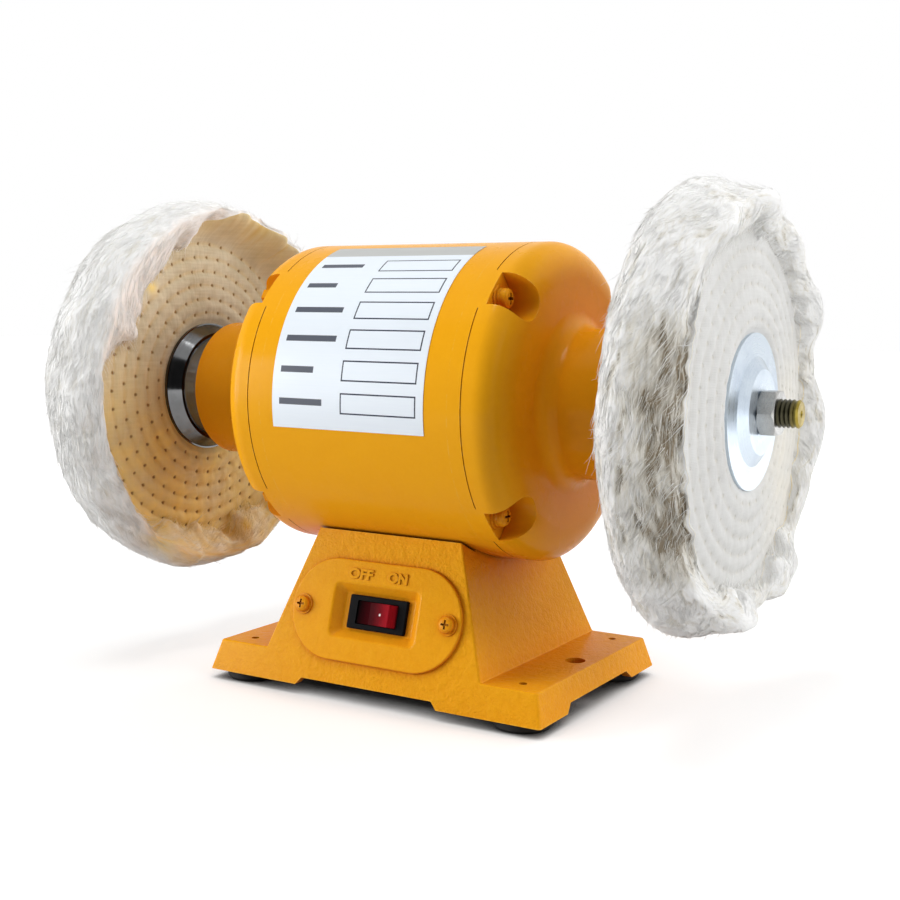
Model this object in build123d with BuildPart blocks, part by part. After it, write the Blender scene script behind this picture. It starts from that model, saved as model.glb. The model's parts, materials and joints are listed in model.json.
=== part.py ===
# Two-wheel bench polisher: a hollow cast pedestal carries an enclosed motor, and the motor's
# shaft turns a sewn cotton buffing wheel at each end.
# Frame: origin on the table under the middle of the base, +X along the shaft, switch on -Y, +Z up.
import os
from math import atan, cos, degrees, radians, sin, sqrt, tan

from build123d import *

os.makedirs("parts", exist_ok=True)

# Clearances
slip_fit = 0.05  # radial gap of a piece that slides on to, or into, another
running_fit = 0.05  # play between a ball or pivot and what it runs in
turning_gap = 0.35  # gap between a turning piece and a fixed one
drill_gap = 0.3  # radial gap of a bolt in its hole

# Base casting
base_length = 188.4
base_depth = 129.0
flange_height = 14.8
flange_shelf = 32.9  # end of the base to the foot of the pedestal
flange_draft = 14.3  # degrees, ends of the flange
face_slope = 16.2  # degrees, front and back faces
pedestal_draft = 18.8  # degrees, sides of the pedestal
saddle_height = 62.9  # lowest point of the saddle over the underside of the casting
saddle_pad = 66.0  # middle width of the saddle that bears on the motor
saddle_relief = 1.3  # depth of the relief in front of and behind the pad
casting_wall = 5.0
flange_web = 5.0
saddle_web = 6.0
corner_radius = 1.6
rim_radius = 1.0
crease_radius = 0.8
front_notch = (80.8, 74.4, 3.5)  # length at the bottom, length at the top, height
end_notch = (73.0, 63.2, 4.1)
notch_radius = 1.4

# Holes and bosses of the base
bench_hole_r = 5.0
bench_hole_inset = 14.2
bench_boss_r = 10.0
foot_hole_r = 2.0
foot_inset_x = 16.7
foot_inset_y = 15.5
foot_boss_r = 9.0

# Rubber feet
foot_height = 4.5
foot_r = 14.0
foot_taper = 1.2
foot_stem_length = 10.5

# Base cover
cover_height = 5.0  # underside of the cover over the underside of the casting
cover_thickness = 1.5
cover_inset_x = 26.7
cover_inset_y = 17.0
cover_corner = 8.0
cover_boss_r = 5.0
cover_screw_inset = 5.6
cover_screw_r = 2.0
cover_screw_length = 6.8
cover_screw_head_r = 3.8
cover_screw_head = 2.4

# Switch plate, placed up the slope of the front face
plate_centre = 39.2
plate_height = 49.4
plate_margin = 5.4  # side of the pedestal to the end of the plate
plate_thickness = 2.0
plate_edge = 0.8
recess_size = (49.0, 26.8)
recess_corner = 3.4
recess_depth = 4.4
recess_draw = 4.4  # how far the sides of the recess lean in
recess_floor_corner = 1.2
recess_mouth_round = 2.0
recess_floor_round = 1.6
tray_wall = 1.8
tray_gap = 0.6  # tray to the opening in the casting

# Screws of the switch plate
plate_screw_inset = 6.8
plate_screw_r = 2.0
plate_screw_length = 11.0
plate_screw_head_r = 3.9
plate_screw_head = 2.5
plate_washer_r = 5.0
plate_washer = 0.8

# Rocker switch
bezel_size = (33.0, 16.4)
bezel_thickness = 1.8
bezel_edge = 0.6
housing_size = (28.4, 13.2)
housing_depth = 20.0
window_size = (23.4, 11.4)
window_depth = 10.6
rocker_gap = 0.35  # rocker to its window
rocker_tilt = 10.0  # degrees from level, either way
rocker_pivot_depth = 2.0  # below the seat of the bezel
rocker_lip_angle = 30.0
rocker_heel_angle = 15.0
rocker_flat = 7.0
rocker_dish = 1.3
trunnion_r = 1.2
trunnion_length = 0.7
terminal_size = (0.8, 6.3)
terminal_length = 8.0
terminal_pitch = 9.0
terminal_count = 3

# Motor shell
motor_r = 76.2
shell_wall = 2.2
seam_x = 52.0

# End bells
spigot_length = 6.0
spigot_land = 5.0  # tie bolt circle to the bore of the spigot
band_groove_x = 59.0
band_groove_width = 0.6
band_groove_depth = 0.4
shoulder_x = 64.5
shoulder_length = 13.2
shoulder_drop = 16.6
bell_end_wall = 5.0
bell_inner_chamfer = 10.0
hub_r = 35.6
hub_fillet = 8.0
hub_wall = 6.0
hub_end_x = 129.3
hub_edge = 1.0

# Tie bolts and their pockets
tie_bolt_r = 2.5
tie_bolt_inset = 5.0  # bore of the shell to the bolts' circle
tie_count = 4
tie_start_angle = 45.0
pocket_seat_x = 62.5
pocket_r = 10.0
pocket_wall = 3.5
tie_head_r = 4.7
tie_head = 3.6
tie_nut_flats = 8.0
tie_nut = 4.0
tie_tip = 2.0
tie_washer_r = 6.2
tie_washer = 1.0
lock_washer_r = 4.9
lock_washer = 1.4

# Stator and rotor
core_length = 46.0
rotor_r = 35.0
air_gap = 0.4
slot_count = 24
slot_mouth_depth = 1.7
slot_mouth_width = 2.4
slot_depth = 15.0
slot_width = 5.0
slot_liner = 0.3
coil_gap = 1.0  # end turns to the core
coil_length = 17.0
coil_clearance = 4.0  # end turns to the tie bolts
coil_inset = 1.5  # end turns outside the mouths of the slots
coil_round = 5.0
rotor_seat_r = 12.0
end_ring_inset = 2.0
end_ring_bore_r = 22.0
end_ring_length = 7.0
rotor_seat_end = 2.0  # seat past each end ring

# Ball bearings and seals
journal_r = 8.5
journal_shoulder = 1.5
bearing_r = 20.0
bearing_width = 12.0
bearing_x = 106.0  # motor side of each bearing
bearing_lead_in = 2.0
ball_r = 3.37
ball_count = 8
land_height = 2.0  # from the balls' circle to the lands of the rings
cage_wall = 1.7
cage_width = 9.4
cage_gap = 0.25
preload_gap = 1.6
preload_wall = 3.0
seal_r = 16.0
seal_width = 6.0
seal_inset = 1.0

# Arbors
arbor_r = 6.35
arbor_x = 131.0  # shoulder that the inner flange stands on
arbor_tip_x = 185.6
arbor_chamfer = 0.9
thread_length = 22.0
thread_pitch = 1.95
thread_depth = 0.75
centre_hole_r = 1.6
centre_hole_depth = 3.2

# Flanges, wheels and nuts
clamp_flange_r = 34.9
inner_flange_length = 19.9
inner_lip = 1.6
inner_lip_step = 0.7
inner_cone_r = 29.8
inner_cone_length = 6.2
inner_step = 1.8
inner_back_r = 25.0
inner_back_edge = 1.0
wheel_clamped = 12.0
wheel_r = 101.6
wheel_rim_in = 17.0  # loose rim past the clamped face, towards the motor
wheel_rim_out = 7.0
wheel_rim_drop = 10.6  # outside of the wheel to where its rim is widest
wheel_rim_round = 5.0
wheel_swell = 1.2  # how far the cotton stands past the clamped face beside the flanges
wheel_sewn_in = 3.4  # how far the last sewn ring lies inside the clamped face
wheel_sewn_out = 2.4
stitch_first_r = 41.0
stitch_pitch = 7.6
stitch_half_width = 2.2
stitch_depth = 0.7
outer_flange_wall = 1.5
outer_flange_dish = 5.6
outer_rim_rise = 0.7
outer_crease_r = 24.4
outer_crown_r = 19.0
outer_seat_width = 4.0
nut_flats = 19.05
nut_thickness = 7.9
nut_chamfer = 0.9

# Motor mounting
mount_bolt_r = 3.0
mount_bolt_offset = 8.5  # past the end of the core
mount_head_flats = 10.0
mount_head = 4.0
mount_tip = 1.0
mount_washer_r = 6.2
mount_washer = 1.6
mount_pad_r = 7.6
mount_pad = 1.0
mount_nut_flats = 10.0
mount_nut = 5.0

# Wiring
lead_hole_r = 4.7
lead_hole_offset = 8.0  # past the end of the core
lead_hole_y = 20.0
sleeve_wall = 1.2
sleeve_overhang = 4.0
lead_r = 1.1
lead_spacing = 3.0
lead_touch = 0.1
lead_straight = 11.0
inlet_x = -30.0
inlet_up_slope = 24.0
inlet_hole_r = 6.0
inlet_bore_r = 4.0
inlet_lip_r = 8.5
inlet_lip = 2.2
inlet_lip_edge = 0.7

# Capacitor
capacitor_r = 17.5
capacitor_length = 58.0
capacitor_x = -45.0
capacitor_y = 14.0
capacitor_rim = 1.5
capacitor_tab = (0.8, 6.3)
capacitor_tab_length = 8.0
capacitor_tab_spacing = 10.0
clamp_wall = 1.2
clamp_width = 14.0
clamp_foot = 11.0
clamp_screw_r = 1.75
clamp_screw_length = 4.5
clamp_screw_head_r = 3.3
clamp_screw_head = 2.1

# Rating plate
label_from_x = -44.0
label_to_x = 40.0
label_from_angle = -9.0  # degrees above the front
label_to_angle = 74.0
label_thickness = 0.25

# Places worked out from the sizes
half_length = base_length / 2
half_depth = base_depth / 2
pedestal_half = half_length - flange_shelf
axis_z = foot_height + saddle_height + slip_fit + motor_r
shelf_z = foot_height + flange_height
web_z = foot_height + saddle_height - saddle_web
mount_pad_z = web_z - mount_pad
cover_z = foot_height + cover_height
cover_top = cover_z + cover_thickness
cover_half_x = half_length - cover_inset_x
cover_half_y = half_depth - cover_inset_y
shell_bore_r = motor_r - shell_wall
tie_circle_r = shell_bore_r - tie_bolt_inset
spigot_bore_r = tie_circle_r - spigot_land
bell_end_x = shoulder_x + shoulder_length
core_half = core_length / 2
stator_bore_r = rotor_r + air_gap
slot_floor_r = stator_bore_r + slot_mouth_depth
coil_outer_r = tie_circle_r - tie_bolt_r - coil_clearance
bearing_mid_x = bearing_x + bearing_width / 2
bearing_end_x = bearing_x + bearing_width
ball_circle_r = (journal_r + bearing_r) / 2
clamp_in_x = arbor_x + inner_flange_length
clamp_out_x = clamp_in_x + wheel_clamped
nut_x = clamp_out_x + outer_flange_dish
arbor_bore_r = arbor_r + slip_fit
wheel_rim_r = wheel_r - wheel_rim_drop
stitch_rings = int((wheel_rim_r - stitch_half_width - stitch_first_r) / stitch_pitch)
sides = ((-1, "left"), (1, "right"))


def edges_on(part, plane, size):
    # edges that lie in a plane, within a rectangle about its origin
    chosen = []
    for edge in part.edges():
        place = plane.to_local_coords(edge.center())
        inside = abs(place.X) < size[0] / 2 + slip_fit and abs(place.Y) < size[1] / 2 + slip_fit
        if inside and abs(place.Z) < slip_fit / 10:
            chosen.append(edge)
    return chosen


def corner_places(x, y):
    return [(-x, -y), (x, -y), (-x, y), (x, y)]


foot_places = corner_places(half_length - foot_inset_x, half_depth - foot_inset_y)
bench_places = [(bench_hole_inset - half_length, 0), (half_length - bench_hole_inset, 0)]
cover_screw_places = corner_places(cover_half_x - cover_screw_inset, cover_half_y - cover_screw_inset)
mount_places = [(-core_half - mount_bolt_offset, 0), (core_half + mount_bolt_offset, 0)]
lead_place = (core_half + lead_hole_offset, lead_hole_y)

# The shaft's axis, and the plane of turned profiles: x along the shaft, y away from it
shaft_axis = Axis((0, 0, axis_z), (1, 0, 0))
shaft_plane = Plane(origin=(0, 0, axis_z), x_dir=(1, 0, 0), z_dir=(0, -1, 0))


def cross_plane(x, y=0.0, z=axis_z):
    # square to the shaft: local x is world Y, local y is world Z
    return Plane(origin=(x, y, z), x_dir=(0, 1, 0), z_dir=(1, 0, 0))


def slope_plane(up_slope, facing):
    # on the front (-1) or back (1) face of the base: local y runs up the slope, z out of the face
    lean = radians(face_slope)
    y = facing * (half_depth - up_slope * sin(lean))
    z = foot_height + up_slope * cos(lean)
    return Plane(origin=(0, y, z), x_dir=(-facing, 0, 0), z_dir=(0, facing * cos(lean), sin(lean)))


def moved(plane, x, y, z=0.0):
    return Plane(origin=plane.from_local_coords((x, y, z)), x_dir=plane.x_dir, z_dir=plane.z_dir)


def turn(points, axis=shaft_axis, plane=shaft_plane, mode=Mode.ADD):
    # a closed outline turned about an axis that lies in its plane
    with BuildSketch(plane) as outline:
        with BuildLine():
            Polyline(*points, close=True)
        make_face()
    revolve(outline.sketch, axis=axis, mode=mode)


def turn_about(plane, points, mode=Mode.ADD):
    # a closed outline of (radius, height) turned about the plane's own normal
    side_plane = Plane(origin=plane.origin, x_dir=plane.x_dir, z_dir=plane.y_dir * -1)
    turn(points, axis=Axis(plane.origin, plane.z_dir), plane=side_plane, mode=mode)


def add_pan_screw(plane, shank_r, length, head_r, head):
    # a domed head standing on the plane with its shank below, and a cross recess
    turn_about(
        plane,
        [
            (0, -length),
            (shank_r * 0.7, -length),
            (shank_r, -length + shank_r * 0.3),
            (shank_r, 0),
            (head_r, 0),
            (head_r, head * 0.45),
            (head_r * 0.92, head * 0.72),
            (head_r * 0.7, head * 0.92),
            (head_r * 0.4, head),
            (0, head),
        ],
    )
    with BuildSketch(moved(plane, 0, 0, head)) as recess:
        Rectangle(head_r * 1.1, head_r * 0.26)
        Rectangle(head_r * 0.26, head_r * 1.1)
    extrude(recess.sketch, amount=-head * 0.5, mode=Mode.SUBTRACT)


def add_ring(plane, outer_r, inner_r, thickness):
    with BuildSketch(plane) as ring:
        Circle(outer_r)
        Circle(inner_r, mode=Mode.SUBTRACT)
    extrude(ring.sketch, amount=thickness)


def add_hexagon(plane, flats, height, bore_r):
    with BuildSketch(plane) as hexagon:
        RegularPolygon(flats / 2, 6, major_radius=False)
        if bore_r > 0:
            Circle(bore_r, mode=Mode.SUBTRACT)
    extrude(hexagon.sketch, amount=height)


def drill(plane, places, radius, depth):
    with BuildSketch(plane) as holes:
        with Locations(*places):
            Circle(radius)
    extrude(holes.sketch, amount=depth, mode=Mode.SUBTRACT)


def save(piece, name):
    piece.part.label = name
    export_step(piece.part, f"parts/{name}.step")


# Base casting: flange, pedestal and saddle in one hollow casting
def outline_front(inset, top_web):
    # half of the front view, drawn in by a wall
    lean = tan(radians(pedestal_draft))
    end_lean = tan(radians(flange_draft))
    wall = inset / cos(radians(pedestal_draft))
    shelf = flange_height - top_web
    top = saddle_height + motor_r
    return [
        (half_length - inset + inset * end_lean, foot_height - inset),
        (half_length - inset - shelf * end_lean, foot_height + shelf),
        (pedestal_half - wall + top_web * lean, foot_height + shelf),
        (pedestal_half - wall - (top - flange_height) * lean, foot_height + top),
    ]


def outline_end(inset):
    # half of the end view: one sloping face from the underside to the motor
    lean = tan(radians(face_slope))
    wall = inset / cos(radians(face_slope))
    top = saddle_height + motor_r
    return [
        (half_depth - wall + inset * lean, foot_height - inset),
        (half_depth - wall - top * lean, foot_height + top),
    ]


def add_pedestal(inset, top_web):
    # the front view drawn through, then cut to the end view
    right = outline_front(inset, top_web)
    with BuildSketch(Plane.XZ) as front:
        with BuildLine():
            Polyline(*right, *[(-x, z) for x, z in reversed(right)], close=True)
        make_face()
    extrude(front.sketch, amount=base_depth, both=True)
    back = outline_end(inset)
    with BuildSketch(Plane.YZ) as end:
        with BuildLine():
            Polyline(*back, *[(-y, z) for y, z in reversed(back)], close=True)
        make_face()
    extrude(end.sketch, amount=base_length, both=True, mode=Mode.INTERSECT)


def add_bosses(bottom, places, radius):
    # round bosses that run up into the web of the flange
    with BuildSketch(Plane.XY.offset(bottom)) as bosses:
        with Locations(*places):
            Circle(radius)
    extrude(bosses.sketch, amount=shelf_z - flange_web / 2 - bottom)


def cut_notch(plane, notch):
    # a low gap in the skirt between two feet
    bottom, top, height = notch
    with BuildSketch(plane) as gap:
        with BuildLine():
            Polyline(
                (-bottom / 2, foot_height - height),
                (-bottom / 2, foot_height),
                (-top / 2, foot_height + height),
                (top / 2, foot_height + height),
                (bottom / 2, foot_height),
                (bottom / 2, foot_height - height),
                close=True,
            )
        make_face()
        fillet(gap.vertices().group_by(Axis.Y)[-1], notch_radius)
    extrude(gap.sketch, amount=base_length, both=True, mode=Mode.SUBTRACT)


def is_crease(edge):
    # where a side of the pedestal meets the shelf
    place = edge.center()
    return abs(place.Y) < 1 and abs(place.Z - shelf_z) < 1 and abs(place.X) < pedestal_half + 1


def is_flange_corner(edge):
    rise = abs((edge @ 1 - edge @ 0).Z)
    return rise > flange_height / 2 and abs(edge.center().X) > pedestal_half + flange_shelf / 2


def is_outer_rim(edge):
    # the corners of the pedestal and the top edges of the flange
    place = edge.center()
    outside = abs(place.Y) > half_depth / 2 or abs(place.X) > pedestal_half + flange_shelf / 2
    between = foot_height + 1 < place.Z < axis_z - 1
    return outside and between and not is_flange_corner(edge)


front_plane = slope_plane(plate_centre, facing=-1)
rear_plane = slope_plane(inlet_up_slope, facing=1)
inlet_place = (-inlet_x, 0)
plate_rise = plate_centre * cos(radians(face_slope)) - flange_height
plate_half = pedestal_half - plate_rise * tan(radians(pedestal_draft)) - plate_margin
plate_screw_places = [(plate_screw_inset - plate_half, 0), (plate_half - plate_screw_inset, 0)]
tray_size = [size + 2 * tray_wall for size in recess_size]
opening_size = [size + 2 * tray_gap for size in tray_size]

with BuildPart() as casting_hollow:
    add_pedestal(casting_wall, flange_web)
    with BuildSketch(cross_plane(0)):
        Circle(motor_r + slip_fit + saddle_web)
    extrude(amount=base_length, both=True, mode=Mode.SUBTRACT)

with BuildPart() as base_casting:
    add_pedestal(0, 0)
    fillet(base_casting.edges().filter_by(is_crease), crease_radius)
    fillet(base_casting.edges().filter_by(is_flange_corner), corner_radius)
    fillet(base_casting.edges().filter_by(is_outer_rim), rim_radius)
    # the saddle bears on the motor in the middle, and is relieved in front and behind
    with BuildSketch(cross_plane(0)):
        Circle(motor_r + slip_fit)
    extrude(amount=base_length, both=True, mode=Mode.SUBTRACT)
    with BuildSketch(cross_plane(0)):
        Circle(motor_r + saddle_relief)
        Rectangle(saddle_pad, 3 * motor_r, mode=Mode.SUBTRACT)
    extrude(amount=base_length, both=True, mode=Mode.SUBTRACT)
    add(casting_hollow.part, mode=Mode.SUBTRACT)
    # bosses inside the flange, and pads for the mounting bolts under the saddle
    add_bosses(foot_height, foot_places, foot_boss_r)
    add_bosses(foot_height + end_notch[2], bench_places, bench_boss_r)
    add_bosses(cover_top, cover_screw_places, cover_boss_r)
    with BuildSketch(Plane.XY.offset(mount_pad_z)):
        with Locations(*mount_places):
            Circle(mount_pad_r)
    extrude(amount=mount_pad + saddle_web / 2)
    cut_notch(Plane.XZ, front_notch)
    cut_notch(Plane.YZ, end_notch)
    drill(Plane.XY, bench_places, bench_hole_r, 2 * shelf_z)
    drill(Plane.XY, foot_places, foot_hole_r, 2 * shelf_z)
    screw_depth = cover_screw_length + drill_gap
    drill(Plane.XY.offset(cover_z), cover_screw_places, cover_screw_r + slip_fit, screw_depth)
    drill(Plane.XY.offset(mount_pad_z), mount_places, mount_bolt_r + drill_gap, 3 * saddle_web)
    drill(Plane.XY.offset(mount_pad_z - saddle_web), [lead_place], lead_hole_r, 5 * saddle_web)
    # the opening behind the switch plate with its screw holes, and the cord inlet
    with BuildSketch(front_plane):
        Rectangle(*opening_size)
        with Locations(*plate_screw_places):
            Circle(plate_screw_r + slip_fit)
    extrude(amount=-2 * casting_wall, mode=Mode.SUBTRACT)
    with BuildSketch(rear_plane):
        with Locations(inlet_place):
            Circle(inlet_hole_r)
    extrude(amount=-2 * casting_wall, mode=Mode.SUBTRACT)
save(base_casting, "base_casting")


# Rubber feet, each with a stem that pushes into the casting
def make_foot(x, y):
    stem_r = foot_hole_r - slip_fit
    with BuildPart() as foot:
        turn_about(
            Plane(origin=(x, y, 0)),
            [
                (0, 0),
                (foot_r - foot_taper, 0),
                (foot_r, foot_taper),
                (foot_r, foot_height),
                (stem_r, foot_height),
                (stem_r, foot_height + foot_stem_length),
                (0, foot_height + foot_stem_length),
            ],
        )
    return foot


for (x, y), place in zip(foot_places, ("front_left", "front_right", "rear_left", "rear_right")):
    save(make_foot(x, y), f"{place}_foot")

# Base cover, the capacitor that it carries, and the capacitor's clamp
capacitor_z = cover_top + slip_fit + capacitor_r
capacitor_end_x = capacitor_x + capacitor_length - capacitor_rim
clamp_inner_r = capacitor_r + slip_fit
clamp_outer_r = clamp_inner_r + clamp_wall
clamp_x = capacitor_x + capacitor_length / 2
clamp_drop = capacitor_z - cover_top
clamp_reach = clamp_outer_r + clamp_foot / 2
clamp_screw_places = [(clamp_x, capacitor_y - clamp_reach), (clamp_x, capacitor_y + clamp_reach)]

with BuildPart() as base_cover:
    with BuildSketch(Plane.XY.offset(cover_z)):
        RectangleRounded(2 * cover_half_x, 2 * cover_half_y, cover_corner)
        with Locations(*cover_screw_places):
            Circle(cover_screw_r + drill_gap, mode=Mode.SUBTRACT)
        with Locations(*clamp_screw_places):
            Circle(clamp_screw_r + slip_fit, mode=Mode.SUBTRACT)
    extrude(amount=cover_thickness)
save(base_cover, "base_cover")

with BuildPart() as base_cover_screws:
    for x, y in cover_screw_places:
        seat = Plane(origin=(x, y, cover_z), x_dir=(1, 0, 0), z_dir=(0, 0, -1))
        add_pan_screw(seat, cover_screw_r, cover_screw_length, cover_screw_head_r, cover_screw_head)
save(base_cover_screws, "base_cover_screws")

with BuildPart() as capacitor:
    turn_about(
        cross_plane(capacitor_x, capacitor_y, capacitor_z),
        [
            (0, 0),
            (capacitor_r - capacitor_rim, 0),
            (capacitor_r, capacitor_rim),
            (capacitor_r, capacitor_length),
            (capacitor_r - capacitor_rim, capacitor_length),
            (capacitor_r - capacitor_rim, capacitor_length - capacitor_rim),
            (0, capacitor_length - capacitor_rim),
        ],
    )
save(capacitor, "capacitor")

with BuildPart() as capacitor_terminals:
    with BuildSketch(cross_plane(capacitor_end_x, capacitor_y, capacitor_z)):
        with GridLocations(capacitor_tab_spacing, 0, 2, 1):
            Rectangle(*capacitor_tab)
    extrude(amount=capacitor_tab_length)
save(capacitor_terminals, "capacitor_terminals")

with BuildPart() as capacitor_clamp:
    with BuildSketch(cross_plane(clamp_x, capacitor_y, capacitor_z)):
        Circle(clamp_outer_r)
        with Locations((0, -clamp_drop / 2)):
            Rectangle(2 * clamp_outer_r, clamp_drop)
        with Locations((0, clamp_wall / 2 - clamp_drop)):
            Rectangle(2 * (clamp_outer_r + clamp_foot), clamp_wall)
        Circle(clamp_inner_r, mode=Mode.SUBTRACT)
        with Locations((0, -clamp_drop / 2)):
            Rectangle(2 * clamp_inner_r, clamp_drop, mode=Mode.SUBTRACT)
        with Locations((0, -clamp_drop - clamp_wall)):
            Rectangle(2 * clamp_outer_r, 2 * clamp_wall, mode=Mode.SUBTRACT)
    extrude(amount=clamp_width / 2, both=True)
    drill(Plane.XY.offset(cover_z), clamp_screw_places, clamp_screw_r + slip_fit, 2 * cover_height)
save(capacitor_clamp, "capacitor_clamp")

with BuildPart() as capacitor_clamp_screws:
    for x, y in clamp_screw_places:
        seat = Plane(origin=(x, y, cover_top + clamp_wall))
        add_pan_screw(seat, clamp_screw_r, clamp_screw_length, clamp_screw_head_r, clamp_screw_head)
save(capacitor_clamp_screws, "capacitor_clamp_screws")

# Switch plate: a stadium with a tray that sinks the switch below its face
recess_angle = degrees(atan(recess_draw / recess_depth))
seat_depth = recess_depth - plate_thickness
seat_size = [size - 2 * recess_draw for size in recess_size]
plate_face = moved(front_plane, 0, 0, plate_thickness)
seat_plane = moved(front_plane, 0, 0, -seat_depth)
bezel_plane = moved(seat_plane, 0, 0, bezel_thickness)
housing_back = moved(seat_plane, 0, 0, -housing_depth)

with BuildPart() as switch_plate:
    with BuildSketch(front_plane):
        SlotOverall(2 * plate_half, plate_height)
    extrude(amount=plate_thickness)
    face_edges = switch_plate.faces().sort_by(Axis(front_plane.origin, front_plane.z_dir))[-1].edges()
    fillet(face_edges, plate_edge)
    with BuildSketch(front_plane):
        RectangleRounded(*tray_size, recess_corner + tray_wall)
    extrude(amount=-seat_depth - tray_wall, taper=recess_angle)
    with BuildSketch(plate_face):
        RectangleRounded(*recess_size, recess_corner)
    with BuildSketch(seat_plane):
        RectangleRounded(*seat_size, recess_floor_corner)
    loft(mode=Mode.SUBTRACT)
    fillet(edges_on(switch_plate, plate_face, recess_size), recess_mouth_round)
    fillet(edges_on(switch_plate, seat_plane, seat_size), recess_floor_round)
    with BuildSketch(seat_plane):
        Rectangle(housing_size[0] + 2 * drill_gap, housing_size[1] + 2 * drill_gap)
    extrude(amount=-2 * tray_wall, mode=Mode.SUBTRACT)
    drill(plate_face, plate_screw_places, plate_screw_r + drill_gap, -2 * plate_thickness)
save(switch_plate, "switch_plate")

with BuildPart() as switch_plate_washers:
    for x, y in plate_screw_places:
        add_ring(moved(plate_face, x, y), plate_washer_r, plate_screw_r + drill_gap, plate_washer)
save(switch_plate_washers, "switch_plate_washers")

with BuildPart() as switch_plate_screws:
    for x, y in plate_screw_places:
        seat = moved(plate_face, x, y, plate_washer)
        add_pan_screw(seat, plate_screw_r, plate_screw_length, plate_screw_head_r, plate_screw_head)
save(switch_plate_screws, "switch_plate_screws")

# Rocker switch: the rocker turns on two trunnions in the side walls of its housing
pivot_origin = seat_plane.from_local_coords((0, 0, -rocker_pivot_depth))
pivot_plane = Plane(origin=pivot_origin, x_dir=seat_plane.x_dir, z_dir=seat_plane.y_dir * -1)
tilted = seat_plane.x_dir * cos(radians(rocker_tilt)) + seat_plane.z_dir * sin(radians(rocker_tilt))
rocker_plane = Plane(origin=pivot_origin, x_dir=tilted, z_dir=pivot_plane.z_dir)
rocker_r = window_size[0] / 2 - rocker_gap
rocker_half_width = window_size[1] / 2 - rocker_gap

with BuildPart() as switch_housing:
    with BuildSketch(seat_plane):
        RectangleRounded(*bezel_size, bezel_thickness / 2)
    extrude(amount=bezel_thickness)
    rim_edges = switch_housing.faces().sort_by(Axis(seat_plane.origin, seat_plane.z_dir))[-1].edges()
    fillet(rim_edges, bezel_edge)
    with BuildSketch(seat_plane):
        Rectangle(*housing_size)
    extrude(amount=-housing_depth)
    with BuildSketch(bezel_plane):
        Rectangle(*window_size)
    extrude(amount=-window_depth, mode=Mode.SUBTRACT)
    with BuildSketch(pivot_plane):
        Circle(trunnion_r + running_fit)
    extrude(amount=housing_size[1], both=True, mode=Mode.SUBTRACT)
save(switch_housing, "switch_housing")

with BuildPart() as switch_terminals:
    with BuildSketch(housing_back):
        with GridLocations(terminal_pitch, 0, terminal_count, 1):
            Rectangle(*terminal_size)
    extrude(amount=-terminal_length)
save(switch_terminals, "switch_terminals")


def on_rocker(angle):
    return (rocker_r * cos(radians(angle)), rocker_r * sin(radians(angle)))


right_heel = on_rocker(-rocker_heel_angle)
right_lip = on_rocker(rocker_lip_angle)
left_lip = on_rocker(180 - rocker_lip_angle)
left_heel = on_rocker(180 + rocker_heel_angle)
with BuildPart() as switch_rocker:
    with BuildSketch(rocker_plane):
        with BuildLine():
            ThreePointArc(right_heel, (rocker_r, 0), right_lip)
            Polyline(
                right_lip,
                (rocker_flat / 2, right_lip[1] - rocker_dish),
                (-rocker_flat / 2, right_lip[1] - rocker_dish),
                left_lip,
            )
            ThreePointArc(left_lip, (-rocker_r, 0), left_heel)
            Line(left_heel, right_heel)
        make_face()
    extrude(amount=rocker_half_width, both=True)
    with BuildSketch(pivot_plane):
        Circle(trunnion_r)
    extrude(amount=rocker_half_width + rocker_gap + trunnion_length, both=True)
save(switch_rocker, "switch_rocker")

# Cord inlet: a grommet that snaps into the back wall
with BuildPart() as cord_inlet_grommet:
    groove_r = inlet_hole_r - slip_fit
    turn_about(
        moved(rear_plane, *inlet_place),
        [
            (inlet_bore_r, -casting_wall - inlet_lip),
            (inlet_lip_r - inlet_lip_edge, -casting_wall - inlet_lip),
            (inlet_lip_r, -casting_wall - inlet_lip + inlet_lip_edge),
            (inlet_lip_r, -casting_wall),
            (groove_r, -casting_wall),
            (groove_r, 0),
            (inlet_lip_r, 0),
            (inlet_lip_r, inlet_lip - inlet_lip_edge),
            (inlet_lip_r - inlet_lip_edge, inlet_lip),
            (inlet_bore_r, inlet_lip),
        ],
    )
save(cord_inlet_grommet, "cord_inlet_grommet")

# Motor shell, held down on the saddle by bolts in weld nuts
weld_nut_z = axis_z - sqrt(shell_bore_r**2 - mount_nut_flats**2 / 3)
mount_head_z = mount_pad_z - mount_washer

with BuildPart() as motor_shell:
    turn([(-seam_x, shell_bore_r), (seam_x, shell_bore_r), (seam_x, motor_r), (-seam_x, motor_r)])
    drill(Plane.XY.offset(mount_pad_z), mount_places, mount_bolt_r + drill_gap, 4 * saddle_web)
    drill(Plane.XY.offset(mount_pad_z), [lead_place], lead_hole_r, 4 * saddle_web)
save(motor_shell, "motor_shell")

with BuildPart() as mount_washers:
    for x, y in mount_places:
        add_ring(Plane(origin=(x, y, mount_head_z)), mount_washer_r, mount_bolt_r + drill_gap, mount_washer)
save(mount_washers, "mount_washers")

with BuildPart() as mount_bolts:
    for x, y in mount_places:
        add_hexagon(Plane(origin=(x, y, mount_head_z - mount_head)), mount_head_flats, mount_head, 0)
        with BuildSketch(Plane(origin=(x, y, mount_head_z))):
            Circle(mount_bolt_r)
        extrude(amount=weld_nut_z + mount_nut + mount_tip - mount_head_z)
save(mount_bolts, "mount_bolts")

with BuildPart() as mount_weld_nuts:
    for x, y in mount_places:
        add_hexagon(Plane(origin=(x, y, weld_nut_z)), mount_nut_flats, mount_nut, mount_bolt_r + slip_fit)
save(mount_weld_nuts, "mount_weld_nuts")

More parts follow.
